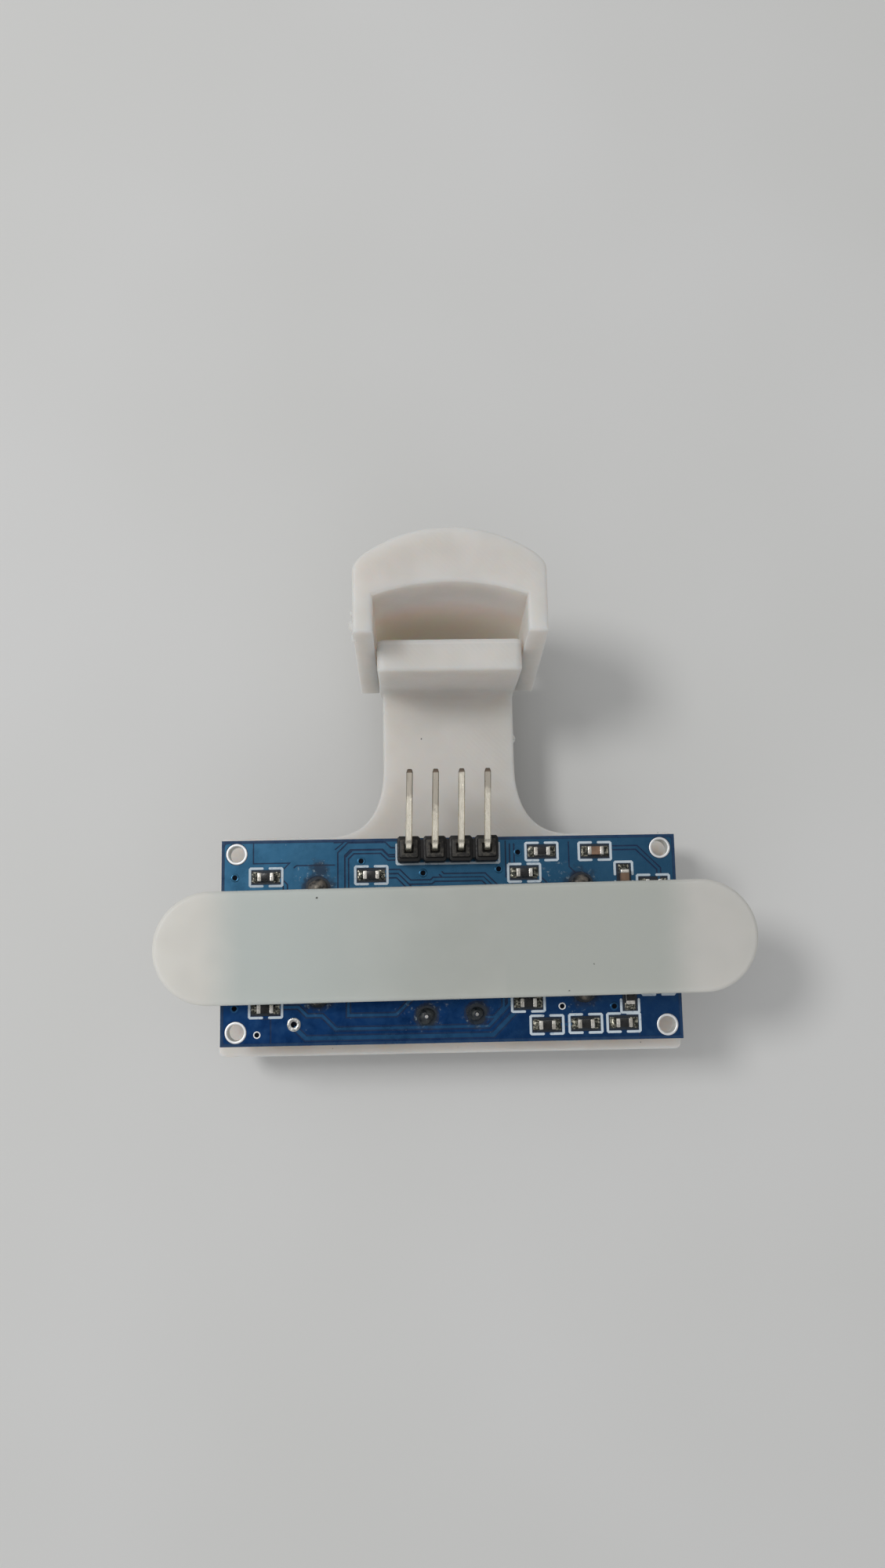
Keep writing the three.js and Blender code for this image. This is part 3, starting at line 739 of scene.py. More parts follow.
# Each metal and dielectric: pale and dark colour, grain size in mm, roughness range, bump in mm.
LOOKS = {
    "print": printed_plastic(),
    "bar": bar_plastic(),
    "laminate": laminate(),
    "ink": board_ink(),
    **{f"pin_{way}": pin_metal(way, dull) for way, dull in enumerate((3.0, 4.0, 0.4, 2.2), 1)},
    "fluxed": fluxed_solder("fluxed_solder", (118, 110, 100), (44, 46, 46)),
    "dark_flux": fluxed_solder("dark_flux_solder", (66, 70, 70), (22, 30, 36)),
    "pad_solder": pad_solder(),
    "header": header_plastic(),
    "solder": metal("solder", (214, 214, 210), (150, 150, 146), 0.22, (0.16, 0.42), 0.05),
    "ring": metal("tinned_ring", (250, 250, 250), (236, 238, 238), 0.3, (0.45, 0.6), 0.01),
    "caps": metal("end_caps", (238, 234, 226), (196, 190, 180), 0.18, (0.2, 0.42), 0.03),
    "dull_wire": metal("dull_wire", (150, 144, 134), (92, 88, 82), 0.2, (0.5, 0.65), 0.03),
    "leads": metal("chip_leads", (222, 220, 216), (176, 174, 170), 0.2, (0.22, 0.4), 0.01),
    "aluminium": metal("can_aluminium", (222, 223, 226), (209, 211, 214), 0.16, (0.26, 0.36), 0.0012,
                       (0.15, 0.15, 3.0)),
    "mesh": metal("mesh_wire", (196, 196, 194), (150, 150, 150), 0.2, (0.25, 0.45), 0.01),
    "horn": metal("horn_aluminium", (232, 232, 234), (206, 207, 210), 0.3, (0.2, 0.35), 0.006),
    "brass": metal("disc_brass", (214, 184, 112), (178, 146, 84), 0.3, (0.25, 0.4), 0.008),
    "nickel": metal("crystal_nickel", (224, 222, 219), (208, 206, 203), 0.2, (0.2, 0.3), 0.0015,
                    (0.4, 0.4, 1.6)),
    "epoxy": dielectric("chip_epoxy", (38, 38, 40), (26, 26, 28), 0.09, (0.45, 0.65), 0.02),
    # the plated hole walls are painted a bright diffuse white: painted reflection of the bright plate below,
    # in place of a metal's sheen
    "barrel": dielectric("hole_wall_painted_reflection", (232, 232, 228), (216, 216, 212), 0.2, (0.4, 0.6), 0.01),
    "bare": dielectric("bare_patch", (30, 44, 58), (18, 28, 40), 0.3, (0.16, 0.34), 0.01),
    "via": dielectric("via_middle", (4, 12, 28), (2, 6, 14), 0.1, (0.5, 0.7), 0.01, Specular_IOR_Level=0.08),
    "glaze": dielectric("resistor_glaze", (24, 24, 26), (12, 12, 14), 0.15, (0.22, 0.4), 0.01),
    "alumina": dielectric("alumina", (228, 226, 220), (206, 204, 198), 0.1, (0.5, 0.7), 0.02),
    "brown_ceramic": dielectric("brown_ceramic", (150, 118, 96), (122, 96, 76), 0.2, (0.35, 0.55), 0.02),
    "white_ceramic": dielectric("white_ceramic", (232, 230, 224), (214, 212, 206), 0.15, (0.4, 0.6), 0.01),
    "resin": dielectric("potting_resin", (44, 44, 46), (30, 30, 32), 0.4, (0.3, 0.5), 0.05),
}


# ---- printed bracket
def plate_outline():
    left, right, front, back, corner = (PLATE[k] for k in ("left", "right", "front", "back", "corner"))
    neck_left, neck_right = CLIP_X - NECK["width"] / 2, CLIP_X + NECK["width"] / 2
    fillet_end, reach = back + NECK["fillet_length"], NECK["fillet_width"]
    return [
        *arc(right - corner, front + corner, corner, -90, 0, 5),
        *arc(right - corner, back - corner, corner, 0, 90, 5),
        *quadratic((neck_right + reach, back), (neck_right, back), (neck_right, fillet_end), 16),
        (neck_right, TAB["back"]), (neck_left, TAB["back"]),
        *quadratic((neck_left, fillet_end), (neck_left, back), (neck_left - reach, back), 16),
        *arc(left + corner, back - corner, corner, 90, 180, 5),
        *arc(left + corner, front + corner, corner, 180, 270, 5),
    ]


def upright_slab():
    """The tab at the neck's end."""
    width, height = TAB["width"], BRACKET.size.z
    shell = pillow(lambda inset: rounded_rectangle(width - 2 * inset, height - 2 * inset,
                                                   TAB["corner"] - inset * 0.6, steps=5),
                   0, TAB["back"] - TAB["front"], 0.3)
    stand = Matrix.Translation((CLIP_X, TAB["back"], BRACKET.mid.z)) @ Matrix.Rotation(math.pi / 2, 4, "X")
    return moved(shell, stand)


def tab_foot():
    """The fillet where the neck turns up into the tab, sunk into both so that they join."""
    front, top, foot, sunk = TAB["front"], BRACKET.low.z + PLATE["thickness"], TAB["foot"], 0.4
    profile = quadratic((front - foot, top), (front, top), (front, top + foot), 8)
    profile += [(front + sunk, top + foot), (front + sunk, top - sunk), (front - foot, top - sunk)]
    half = NECK["width"] / 2 - 0.05
    return loft([[(CLIP_X + side * half, y, z) for y, z in profile] for side in (-1, 1)])


def burr(x, y, z, size, seed):
    """A small lump that the print left on an edge."""
    pick = random.Random(seed)
    turn, swell, squash = [pick.uniform(0.7, 1.2) for _ in range(3)]
    wobble = lambda angle: 1 + 0.25 * math.sin(2 * angle + turn * 5) * swell
    heights = [math.cos(math.pi * k / 6) for k in range(7)]
    profile = [(size * math.sqrt(max(0.0, 1 - h * h)), z - size * h * squash) for h in heights]
    return turned(profile, x, y, sides=10, wobble=wobble)


def build_bracket():
    bottom = BRACKET.low.z
    outlines = [plate_outline()] + [circle(x, 0, CAN["hole"], 96) for x in CAN_X.values()]
    plate = slab(outlines, bottom, bottom + PLATE["thickness"], 0.25)
    neck_right = CLIP_X + NECK["width"] / 2
    burrs = [burr(neck_right, 21.2, bottom + 2.4, 0.28, 1), burr(neck_right, 20.7, bottom + 2.7, 0.2, 2)]
    whole = combined("UNION", plate, [upright_slab(), tab_foot(), *burrs])
    whole = shifted(whole, BOARD.mid.x, BOARD.mid.y)
    piece("printed_bracket", {"print": [whole]}, ["bracket"], BRACKET_BODY)


def arch(half, corner, top, steps):
    """Points of the arc that rises from (half, corner) to (0, top) and falls to (-half, corner)."""
    rise = top - corner
    radius = (half ** 2 + rise ** 2) / (2 * rise)
    spread = math.degrees(math.asin(half / radius))
    return arc(0, top - radius, radius, 90 - spread, 90 + spread, steps)


def build_collar():
    shape = COLLAR_SHAPE
    outer, inner, leg = shape["outer"] / 2, shape["inner"] / 2, shape["leg"]
    outside = arch(outer, shape["outer_corner"], shape["outer_arc"], 40)
    inside = arch(inner, shape["inner_corner"], shape["inner_arc"], 32)
    corner_y, eased_points = shape["outer_corner"], 3  # each shoulder is rounded from the leg on to the arc
    start = quadratic((outer, corner_y - shape["shoulder"]), (outer, corner_y), outside[eased_points], 5)
    end = [(-x, y) for x, y in reversed(start)]
    outline = [(outer, leg), *start, *outside[eased_points + 1:-eased_points - 1], *end, (-outer, leg),
               (-inner, leg), *reversed(inside), (inner, leg)]
    ring = slab([outline], COLLAR.low.z, COLLAR.high.z, 0.35, steps=4)
    top = COLLAR.high.z
    burrs = [burr(-outer, 29.3, top - 1.3, 0.5, 3), burr(-outer, 30.4, top - 0.8, 0.3, 4),
             burr(-outer + 0.1, 28.6, top - 2.2, 0.42, 5), burr(-outer, 29.9, top - 2.6, 0.34, 6)]
    verts, faces = combined("UNION", ring, burrs)
    lean = math.tan(shape["lean"])
    leaning = [(x, y + lean * (z - top), z) for x, y, z in verts]
    whole = shifted((leaning, faces), BOARD.mid.x + CLIP_X, BOARD.mid.y)
    piece("printed_collar", {"print": [whole]}, ["collar"], BRACKET_BODY)


def build_bar():
    length, width, turn, ease = BAR_SHAPE.values()
    shape = lambda inset: stadium(length - 2 * inset, width - 2 * inset, BAR.mid.x, BAR.mid.y, turn, 32)
    shell = pillow(shape, BAR.low.z, BAR.high.z, ease, steps=5)
    piece("milky_bar", {"bar": [shell]}, ["retaining_bar"], BAR_BODY)


# ---- board
HEADER_X = [HEADER.mid.x - BOARD.mid.x + (way - 1.5) * PITCH for way in range(4)]
HEADER_Y = HEADER.mid.y - BOARD.mid.y
TEST_HOLE = (-15.36, -7.97)
CRYSTAL_LEADS = [(Box(f"crystal_lead_{i}").mid - BOARD.mid).xy for i in (1, 2)]
CAN_LEADS = [(x, side * LEAD_Y) for x in CAN_X.values() for side in (1, -1)]
WIRE_HOLES = [*CAN_LEADS, *CRYSTAL_LEADS, *[(x, HEADER_Y) for x in HEADER_X]]
VIAS = [(-21.15, 6.32), (-8.71, 7.78), (6.84, 8.42), (-2.6, 6.5), (4.9, 6.78), (-21.13, -6.35), (15.85, -6.8)]
OPEN_VIAS = [(-18.93, -8.9), (10.76, -6.7)]

# Tracks on the board's back, each a width and the middle line's points from the board's middle.
TRACKS = [
    (0.58, [(-5.2, 8.72), (-5.9, 8.72), (-6.45, 9.27), (-9.9, 9.27), (-10.68, 8.5), (-10.68, 3.2)]),
    (0.24, [(-5.2, 8.0), (-6.0, 8.0), (-6.7, 8.7), (-9.5, 8.7), (-10.14, 8.08), (-10.14, 3.2)]),
    (0.3, [(-6.6, 6.7), (-5.0, 6.7), (-3.92, 5.62), (-1.8, 5.62), (-1.55, 5.86), (3.3, 5.86), (4.6, 4.56),
           (4.6, 3.4)]),
    (0.3, [(-6.6, 6.28), (-5.15, 6.28), (-3.0, 4.1), (-3.0, 3.4)]),
    (0.28, [(-0.9, 6.5), (-0.62, 6.22), (3.45, 6.22), (5.2, 4.5), (5.2, 3.2)]),
    (0.28, [(16.0, 8.7), (18.65, 8.7), (20.8, 6.55), (20.8, 5.4)]),
    (0.33, [(6.23, 9.3), (6.23, 7.3)]),
    (0.3, [(-17.0, -6.3), (-14.92, -6.3), (-14.07, -7.15), (-12.62, -7.15), (-11.3, -8.46), (3.55, -8.46),
           (5.6, -6.4), (5.6, -4.6)]),
    (0.42, [(-15.36, -8.2), (-14.2, -9.3), (3.95, -9.3), (6.1, -7.2)]),
    (0.3, [(-10.07, -4.4), (-10.07, -7.2), (-5.42, -7.2), (-3.9, -5.7), (-3.9, -4.4)]),
    (0.25, [(3.2, -7.6), (4.1, -7.6), (5.05, -6.65), (5.05, -4.4)]),
    (0.3, [(8.6, -8.45), (11.9, -8.45)]),
    (0.3, [(-17.0, 6.34), (-16.2, 5.5), (-16.2, 3.6), (-17.4, 2.4), (-20.2, 2.4)]),
    (0.3, [(14.5, 5.0), (16.2, 3.3), (16.2, 1.0), (19.4, 1.0)]),
    (0.3, [(18.3, 4.4), (17.2, 4.4), (16.9, 4.1)]),
    (0.3, [(8.4, 6.3), (10.0, 4.7), (10.0, 3.4)]),
]
# Lines that part one copper area from the next.
PARTINGS = [
    [(-22.4, 9.77), (-19.35, 9.77), (-19.35, 7.7), (-15.8, 7.7), (-16.4, 7.1)],
    [(-15.4, 7.2), (-15.1, 7.44), (-11.3, 7.44)],
    [(-11.45, 9.65), (-10.45, 9.66), (-11.3, 8.95)],
    [(5.6, 9.6), (5.6, 6.0), (8.2, 3.4)],
    [(-17.6, -9.8), (-17.6, -7.4), (-18.6, -7.4)],
    [(11.9, 9.4), (11.9, 6.9), (12.7, 6.1)],
    [(-8.3, 2.9), (-8.3, -3.4), (-8.9, -4.0)],
    [(8.6, 2.9), (8.6, -4.3)],
    [(18.2, -9.8), (18.2, -9.35)],
]
# Pale flux residue away from a joint, as x, y, radius.
SMEARS = [(10.4, 6.6, 0.5), (-14.3, 6.6, 0.1), (-1.6, -6.3, 0.4), (-4.0, -6.4, 0.2), (12.2, -6.3, 0.3)]
FRONT_TRACKS = [
    [(-18.4, 9.2), (-6.0, 9.2), (-4.4, 7.6), (4.2, 7.6), (5.8, 9.2), (18.0, 9.2)],
    [(-18.4, -9.2), (-7.0, -9.2), (-6.2, -8.4)], [(6.4, -9.0), (18.6, -9.0)],
    [(-1.2, 6.6), (-1.2, -4.2)], [(1.0, 6.6), (1.0, -4.2)], [(3.0, 5.4), (3.0, -3.4)],
]


def chip_tracks():
    """Short tracks out of the chips' leads, and the vias that they end in."""
    pick = random.Random(11)
    tracks, ends = [], []
    for name, leads in CHIP_LEADS.items():
        middle = Box(name).mid.x - BOARD.mid.x
        for k in range(leads):
            x = middle + (k - (leads - 1) / 2) * CHIP["pitch"]
            for side in (-1, 1):
                if pick.random() < 0.45:
                    continue
                bend = pick.choice((-0.5, 0, 0.5))
                end = (x + bend, side * pick.uniform(3.7, 4.3))
                tracks.append((0.25, [(x, side * 3.0), (x, side * 3.35), end]))
                ends.append(end)
    return tracks, ends


def strip(line, *shape):
    """A ribbon along a line that is measured from the board's middle."""
    return ribbon([on_board(x, y) for x, y in line], *shape)


def cutter(place, foot, top, low, high, sides=32):
    """A round cutter that widens from one radius to the other."""
    return turned([(0, low), (foot, low), (top, high), (0, high)], *on_board(*place), sides=sides)


def copper_layer():
    """The copper areas and tracks under the mask on the board's back, cut apart by narrow grooves.
    No two cutters share a level, so that none of their faces coincide."""
    low, high = BACK - 0.02, BACK + COPPER
    spread = rounded_rectangle(BOARD.size.x - 2 * RIM, BOARD.size.y - 2 * RIM, 0.3, BOARD.mid.x, BOARD.mid.y)
    area = slab([spread], low, high, 0.012, steps=1)
    tracks = TRACKS + chip_tracks()[0]
    over, under = high + 0.05, low - 0.1
    cutters = [strip(line, width + 2 * GROOVE, BACK + 0.002 + 1e-4 * k, over + 1e-3 * k, -0.02)
               for k, (width, line) in enumerate(tracks)]
    cutters += [strip(line, GROOVE, BACK + 0.001, over + 0.1 + 1e-3 * k, -0.02)
                for k, line in enumerate(PARTINGS)]
    cutters += [cutter(place, 1.25, 1.3, BACK + 0.003, over + 0.2) for place in CAN_LEADS + CRYSTAL_LEADS]
    for box in map(Box, CHIP_PARTS):
        cutters.append(block(*box.lying(2.95, 1.45), 0.12, box.mid.x, box.mid.y, BACK + 0.0015, over + 0.3,
                             0.0001, steps=1, corner_steps=2))
    cutters.append(cutter(TEST_HOLE, 0.62, 0.63, under, over + 0.4))
    cutters += [cutter(place, 0.34, 0.35, under, over + 0.4) for place in OPEN_VIAS]
    cutters += [cutter(place, 1.1, 1.12, under, over + 0.5, sides=40) for place in SCREW_HOLES]
    area = combined("DIFFERENCE", area, cutters)
    return [area, *(strip(line, width, low, high + 0.012 + 4e-4 * (k % 5), 0.018)
                    for k, (width, line) in enumerate(tracks))]


def build_board():
    """The core, masked on level faces and bare at its edge, and all that is plated or printed on it."""
    joints = [(*on_board(*place), 0.95) for place in CAN_LEADS]
    joints += [(*on_board(*place), 0.6) for place in CRYSTAL_LEADS] + [(*on_board(-12.9, 7.0), 0.3)]
    LOOKS["mask"] = solder_mask(joints, [(*on_board(*place), radius) for *place, radius in SMEARS])
    half_x, half_y = BOARD.size.x / 2, BOARD.size.y / 2
    edge = [(-half_x, -half_y), (half_x, -half_y), (half_x, half_y), (-half_x, half_y)]
    holes = [circle(x, y, SCREW_HOLE["radius"]) for x, y in SCREW_HOLES]
    holes += [circle(x, y, 0.5, 24) for x, y in WIRE_HOLES]
    holes += [circle(*TEST_HOLE, 0.36, 24)] + [circle(x, y, 0.24, 20) for x, y in OPEN_VIAS]
    core = shifted(slab([edge, *holes], FRONT, BACK, 0.03, steps=1), BOARD.mid.x, BOARD.mid.y)
    piece("board_core", {("mask", "laminate"): [core]}, ["circuit_board"])
    front = [strip(line, 0.5, FRONT - COPPER, FRONT + 0.02) for line in FRONT_TRACKS]
    piece("masked_copper", {"mask": copper_layer() + front})
    build_rings()
    build_covered_vias()
    build_bare_patches()
    build_ink()


def annulus(x, y, inner, outer, low, high, sides=40):
    """A flat ring with a slightly domed top."""
    soft = min(0.25 * (outer - inner), 0.06)
    profile = [(inner, low), (outer, low), (outer, high - soft / 2), (outer - soft, high),
               (inner + soft, high), (inner, high - soft / 2)]
    return turned(profile, *on_board(x, y), sides=sides, ring_shaped=True)


def build_rings():
    """Bare tinned rings: round the screw holes with their plated walls, the test hole and the open vias. The
    plated walls are painted bright, a painted reflection, and dark plugs partway down the test hole and the
    open vias are painted shade.
    """
    inner, outer = SCREW_HOLE["radius"] - 0.03, SCREW_HOLE["ring"]
    rings, walls, painted_shade_plugs = [], [], []
    for hole in SCREW_HOLES:
        rings.append(annulus(*hole, inner, outer, BACK - 0.01, BACK + 0.05, 56))
        rings.append(annulus(*hole, inner, outer, FRONT - 0.04, FRONT + 0.01, 56))
        walls.append(annulus(*hole, inner, inner + 0.028, FRONT + 0.01, BACK - 0.01, 56))
    rings += [annulus(*via, 0.24, 0.36, BACK, BACK + 0.045, 28) for via in OPEN_VIAS]
    # painted shade: a dark plug fills the test hole and each open via from the board's middle up to just
    # under its back
    for place, radius in [(TEST_HOLE, 0.34), *[(via, 0.23) for via in OPEN_VIAS]]:
        bottom = [(0, BOARD.mid.z), (radius, BOARD.mid.z), (radius, BACK - 0.1), (radius - 0.06, BACK - 0.12),
                  (0, BACK - 0.2)]
        painted_shade_plugs.append(turned(bottom, *on_board(*place), sides=24))
    parts = {"ring": rings, "barrel": walls, "solder": [annulus(*TEST_HOLE, 0.3, 0.66, BACK, BACK + 0.08)],
             "via": painted_shade_plugs}
    piece("tinned_rings", parts)


def build_covered_vias():
    """Vias under the mask: a raised rim round a dark, slightly hollow middle."""
    rim = [(0.25, 0), (0.42, 0), (0.42, 0.034), (0.38, 0.062), (0.31, 0.068), (0.25, 0.055)]
    middle = [(0, 0), (0.27, 0), (0.27, 0.058), (0.18, 0.046), (0.08, 0.044), (0, 0.05)]
    parts = {"mask": [], "via": []}
    for via in VIAS + chip_tracks()[1]:
        for look, profile in (("mask", rim), ("via", middle)):
            raised = [(radius, BACK + height) for radius, height in profile]
            parts[look].append(turned(raised, *on_board(*via), sides=24, ring_shaped=profile is rim))
    piece("covered_vias", parts)


def build_bare_patches():
    """Where the mask has no copper under it and flux has pooled: round the chip parts and the wire joints."""
    patches = []
    for k, box in enumerate(map(Box, CHIP_PARTS)):
        patches.append(block(*box.lying(2.86, 1.4), 0.1, box.mid.x, box.mid.y, BACK - 0.02,
                             BACK + 0.012 + 2e-4 * (k % 7), 0.004, steps=1, corner_steps=2))
    uneven = lambda angle: 1 + 0.04 * math.sin(3 * angle) + 0.03 * math.sin(5 * angle)
    for place, edge in [*((p, 1.2) for p in CAN_LEADS), *((p, 1.02) for p in CRYSTAL_LEADS)]:
        pool = [(0, BACK - 0.02), (edge + 0.02, BACK - 0.02), (edge, BACK + 0.02), (0.6, BACK + 0.05),
                (0, BACK + 0.05)]
        patches.append(turned(pool, *on_board(*place), sides=36, wobble=uneven))
    piece("bare_patches", {"bare": patches})


def bracket_marks(box, step):
    """Two printed square brackets round a chip part."""
    reach, half, gap = 1.59, 0.87, 0.34
    marks = []
    for side in (-1, 1):
        line = [(side * gap, half), (side * reach, half), (side * reach, -half), (side * gap, -half)]
        line = [(-y, x) if box.across else (x, y) for x, y in eased(line, 0.09)]
        marks.append(ribbon([(box.mid.x + x, box.mid.y + y) for x, y in line], INK,
                            BACK + 0.02, BACK + 0.052 + 4e-4 * step, 0.02, 0.09))
    return marks


def build_ink():
    """Printed outlines only: brackets round the chip parts, the header's frame, chip ends and corners."""
    marks = [mark for step, box in enumerate(map(Box, CHIP_PARTS)) for mark in bracket_marks(box, step)]
    low, high = BACK + 0.02, BACK + 0.05
    left, right, below = HEADER.low.x + 0.03, HEADER.high.x + 0.06, HEADER.low.y - 0.05
    top = BOARD.high.y - 0.6
    frame_line = eased([(left, top), (left, below), (right, below), (right, top)], 0.08)
    marks.append(ribbon(frame_line, INK, low, high, 0.02, 0.08))
    for box in map(Box, CHIP_LEADS):
        for side in (-1, 1):
            x = box.mid.x + side * (box.size.x / 2 + 0.35)
            marks.append(ribbon([(x, box.mid.y - 1.9), (x, box.mid.y + 1.9)], 0.2, low, high, 0.02))
        dot = (box.low.x - 0.35, box.low.y + 0.3)
        marks.append(turned([(0, low), (0.22, low), (0.2, high), (0, high)], *dot, sides=20))
    piece("printed_marks", {"ink": marks}, crease=50)


# ---- chip parts
def turned_about(shell, box):
    """A shell that was made lying along X round the origin, put where the box is and lying as it does."""
    turn = Matrix.Rotation(math.pi / 2 if box.across else 0, 4, "Z")
    return moved(shell, Matrix.Translation((box.mid.x, box.mid.y, 0)) @ turn)


def solder_wedge(start, end, width, low, high, seed):
    """Solder that runs up from a pad's outer edge to a part's end, hollow in profile and uneven."""
    pick = random.Random(seed)
    steps, across, lip = 7, 9, 0.07
    sag = pick.uniform(1.4, 2.4)
    rings = []
    for k in range(steps + 1):
        t = k / steps
        height = lip + (high - low - lip) * t ** sag
        half = width / 2 * (0.86 + 0.14 * math.sin(math.pi * min(1, t * 1.5))) * (1 - 0.12 * t)
        x = start + (end - start) * t
        top = []
        for j in range(across):
            v = -1 + 2 * j / (across - 1)
            crown = math.sqrt(max(0.0, 1 - v ** 4)) * 0.8 + 0.2
            top.append((x, v * half, low + height * crown * pick.uniform(0.93, 1.05)))
        rings.append([(x, half, low - 0.02), (x, -half, low - 0.02), *top])
    return loft(rings)


def end_capped(box, core, top, cap, ease):
    """The shells of a chip part in each look: its core, a glazed top if it has one, and two wrapped ends,
    each cap millimetres long."""
    length, width = max(box.size.xy), min(box.size.xy)
    low, high = box.low.z, box.high.z
    parts = {core: [block(length - 0.08, width - 0.06, 0.03, 0, 0, low + 0.015, high - 0.03, 0.02)]}
    if top:
        parts[top] = [block(length - 0.72, width - 0.06, 0.05, 0, 0, high - 0.05, high - 0.004, 0.015)]
    parts["caps"] = [block(cap, width, 0.07, side * (length - cap) / 2, 0, low, high, ease, steps=3)
                     for side in (-1, 1)]
    return {look: [turned_about(shell, box) for shell in shells] for look, shells in parts.items()}


def build_chip_parts():
    solder = []
    for order, node in enumerate(CHIP_PARTS):
        box = Box(node)
        if node in RESISTORS:
            parts, slot = end_capped(box, "alumina", "glaze", 0.38, 0.05), "resistor_ceramic"
            climb, overlap = box.high.z + 0.012, 0.21
        else:
            parts, slot = end_capped(box, "brown_ceramic", None, 0.4, 0.09), "capacitor_ceramic"
            climb, overlap = BACK + (box.high.z - BACK) * 0.7, 0.03
        piece("chip_" + node, parts, [node])
        reach = max(box.size.xy) / 2 - overlap
        for side in (-1, 1):
            wedge = solder_wedge(side * 1.3, side * reach, 0.9, BACK, climb, 10 * order + side)
            pad = block(0.78, 1.02, 0.1, side * 0.98, 0, BACK - 0.01, BACK + 0.05, 0.02)
            solder += [turned_about(wedge, box), turned_about(pad, box)]
    piece("chip_part_solder", {"pad_solder": solder}, crease=60)


# ---- chips
def gull_wing(x, y, side, box):
    """One bent lead, from the chip's side out and down to its pad."""
    foot_z, toe = BACK + CHIP["stand"], box.size.y / 2
    mid_z = (foot_z + box.high.z) / 2
    line = [(toe - 1.45, mid_z), (toe - 0.98, mid_z), (toe - 0.86, mid_z - 0.1), (toe - 0.66, foot_z + 0.08),
            (toe - 0.52, foot_z), (toe, foot_z)]
    path = [((x, y + side * out, z), 1.0) for out, z in line]
    return swept(path, chamfered(0.2, 0.08, 0.02), (side, 0, 0))


def build_chips():
    for name, leads in CHIP_LEADS.items():
        box = Box(name)
        x, y = box.mid.x, box.mid.y
        low, high = BACK + CHIP["stand"], box.high.z
        middle = (low + high) / 2
        length, width, draft = box.size.x, CHIP["width"], CHIP["draft"]
        levels = [(draft + 0.06, low), (draft, low + 0.05), (0, middle - 0.03), (0, middle + 0.03),
                  (draft, high - 0.06), (draft + 0.03, high - 0.015), (draft + 0.08, high)]
        outline = lambda inset: rounded_rectangle(length - 2 * inset, width - 2 * inset, 0.12, x, y)
        rings = [[(px, py, z) for px, py in outline(inset)] for inset, z in levels]
        dimple = turned([(0, high - 0.07), (0.32, high - 0.055), (0.42, high + 0.05), (0, high + 0.05)],
                        x - length / 2 + 0.85, y - width / 2 + 0.85, sides=28)
        wings, pads = [], []
        for k in range(leads):
            lead_x = x + (k - (leads - 1) / 2) * CHIP["pitch"]
            for side in (-1, 1):
                wings.append(gull_wing(lead_x, y, side, box))
                pads.append(block(0.6, 1.15, 0.08, lead_x, y + side * (box.size.y / 2 - 0.2),
                                  BACK - 0.01, BACK + 0.06, 0.02))
        body = combined("DIFFERENCE", loft(rings), [dimple])
        piece(name + "_package", {"epoxy": [body], "leads": wings, "solder": pads}, [name])


# ---- header
def header_way(x):
    """One way: an eight-sided block, a square boss on it and the hole that the pin comes out of."""
    low, shoulder, top = HEADER.low.z, HEADER.low.z + WAY["shoulder"], HEADER.high.z
    width, depth = WAY["width"], HEADER.size.y
    levels = [
        (width - 0.1, depth - 0.1, 0.2, low), (width, depth, 0.2, low + 0.05),
        (width, depth, 0.2, shoulder - 0.1), (width - 0.06, depth - 0.06, 0.2, shoulder - 0.03),
        (width - 0.2, depth - 0.2, 0.18, shoulder),
    ]
    boss = [(1.84, 0.1, shoulder + 0.02), (1.76, 0.08, shoulder + 0.08), (1.74, 0.08, top - 0.06),
            (1.7, 0.08, top - 0.015), (1.62, 0.08, top)]
    hole = [(0.98, 0.05, top), (0.9, 0.05, top - 0.04), (0.86, 0.05, top - 1.2)]
    levels += [(side, side, cut, z) for side, cut, z in boss + hole]
    return loft([[(x + px, HEADER.mid.y + py, z) for px, py in chamfered(w / 2, d / 2, cut)]
                 for w, d, cut, z in levels])


def build_header():
    xs = [BOARD.mid.x + x for x in HEADER_X]
    low = HEADER.low.z
    bridge = block(4 * PITCH - 0.24, 1.86, 0.1, HEADER.mid.x, HEADER.mid.y, low + 0.05, low + 1.9, 0.05,
                   corner_steps=2)
    body = combined("UNION", header_way(xs[0]), [bridge])
    for x in xs[1:]:
        body = combined("UNION", body, [header_way(x)])
    piece("header_block", {"header": [body]}, ["header_body"])
    for way, x in enumerate(xs, 1):
        build_pin(way, x)


def build_pin(way, x):
    """A square pin: up through board and block, a round bend, and out over the board's edge."""
    node = f"header_pin_{way}"
    foot, tip = Box(node).low.z, Box(node).high.y - HEADER.mid.y
    half, bend, crest = PIN["side"] / 2, PIN["bend"], BACK + PIN["rise"]
    line = [((0, 0, foot), 0.5), ((0, 0, foot + 0.35), 1.0)]
    line += [((0, bend - bend * c, crest - bend + bend * s), 1.0) for c, s in quarter(8)]
    line += [((0, tip - PIN["tip"], crest), 1.0), ((0, tip - 0.06, crest), 0.72), ((0, tip, crest), 0.6)]
    shell = swept(line, chamfered(half, half, 0.085), (1, 0, 0))
    place = Matrix.Translation((x, HEADER.mid.y, 0)) @ Matrix.Rotation(-PIN["skew"], 4, "Z")
    joint = [(0, FRONT + 0.02), (0.85, FRONT + 0.02), (0.8, FRONT - 0.12), (0.52, FRONT - 0.45),
             (0.4, FRONT - 0.85), (0, FRONT - 0.85)]
    cone = turned(joint, x, HEADER.mid.y, sides=28)
    parts = {f"pin_{way}": [moved(shell, place)], "solder": [cone]}
    piece(f"bent_pin_{way}", parts, [node])


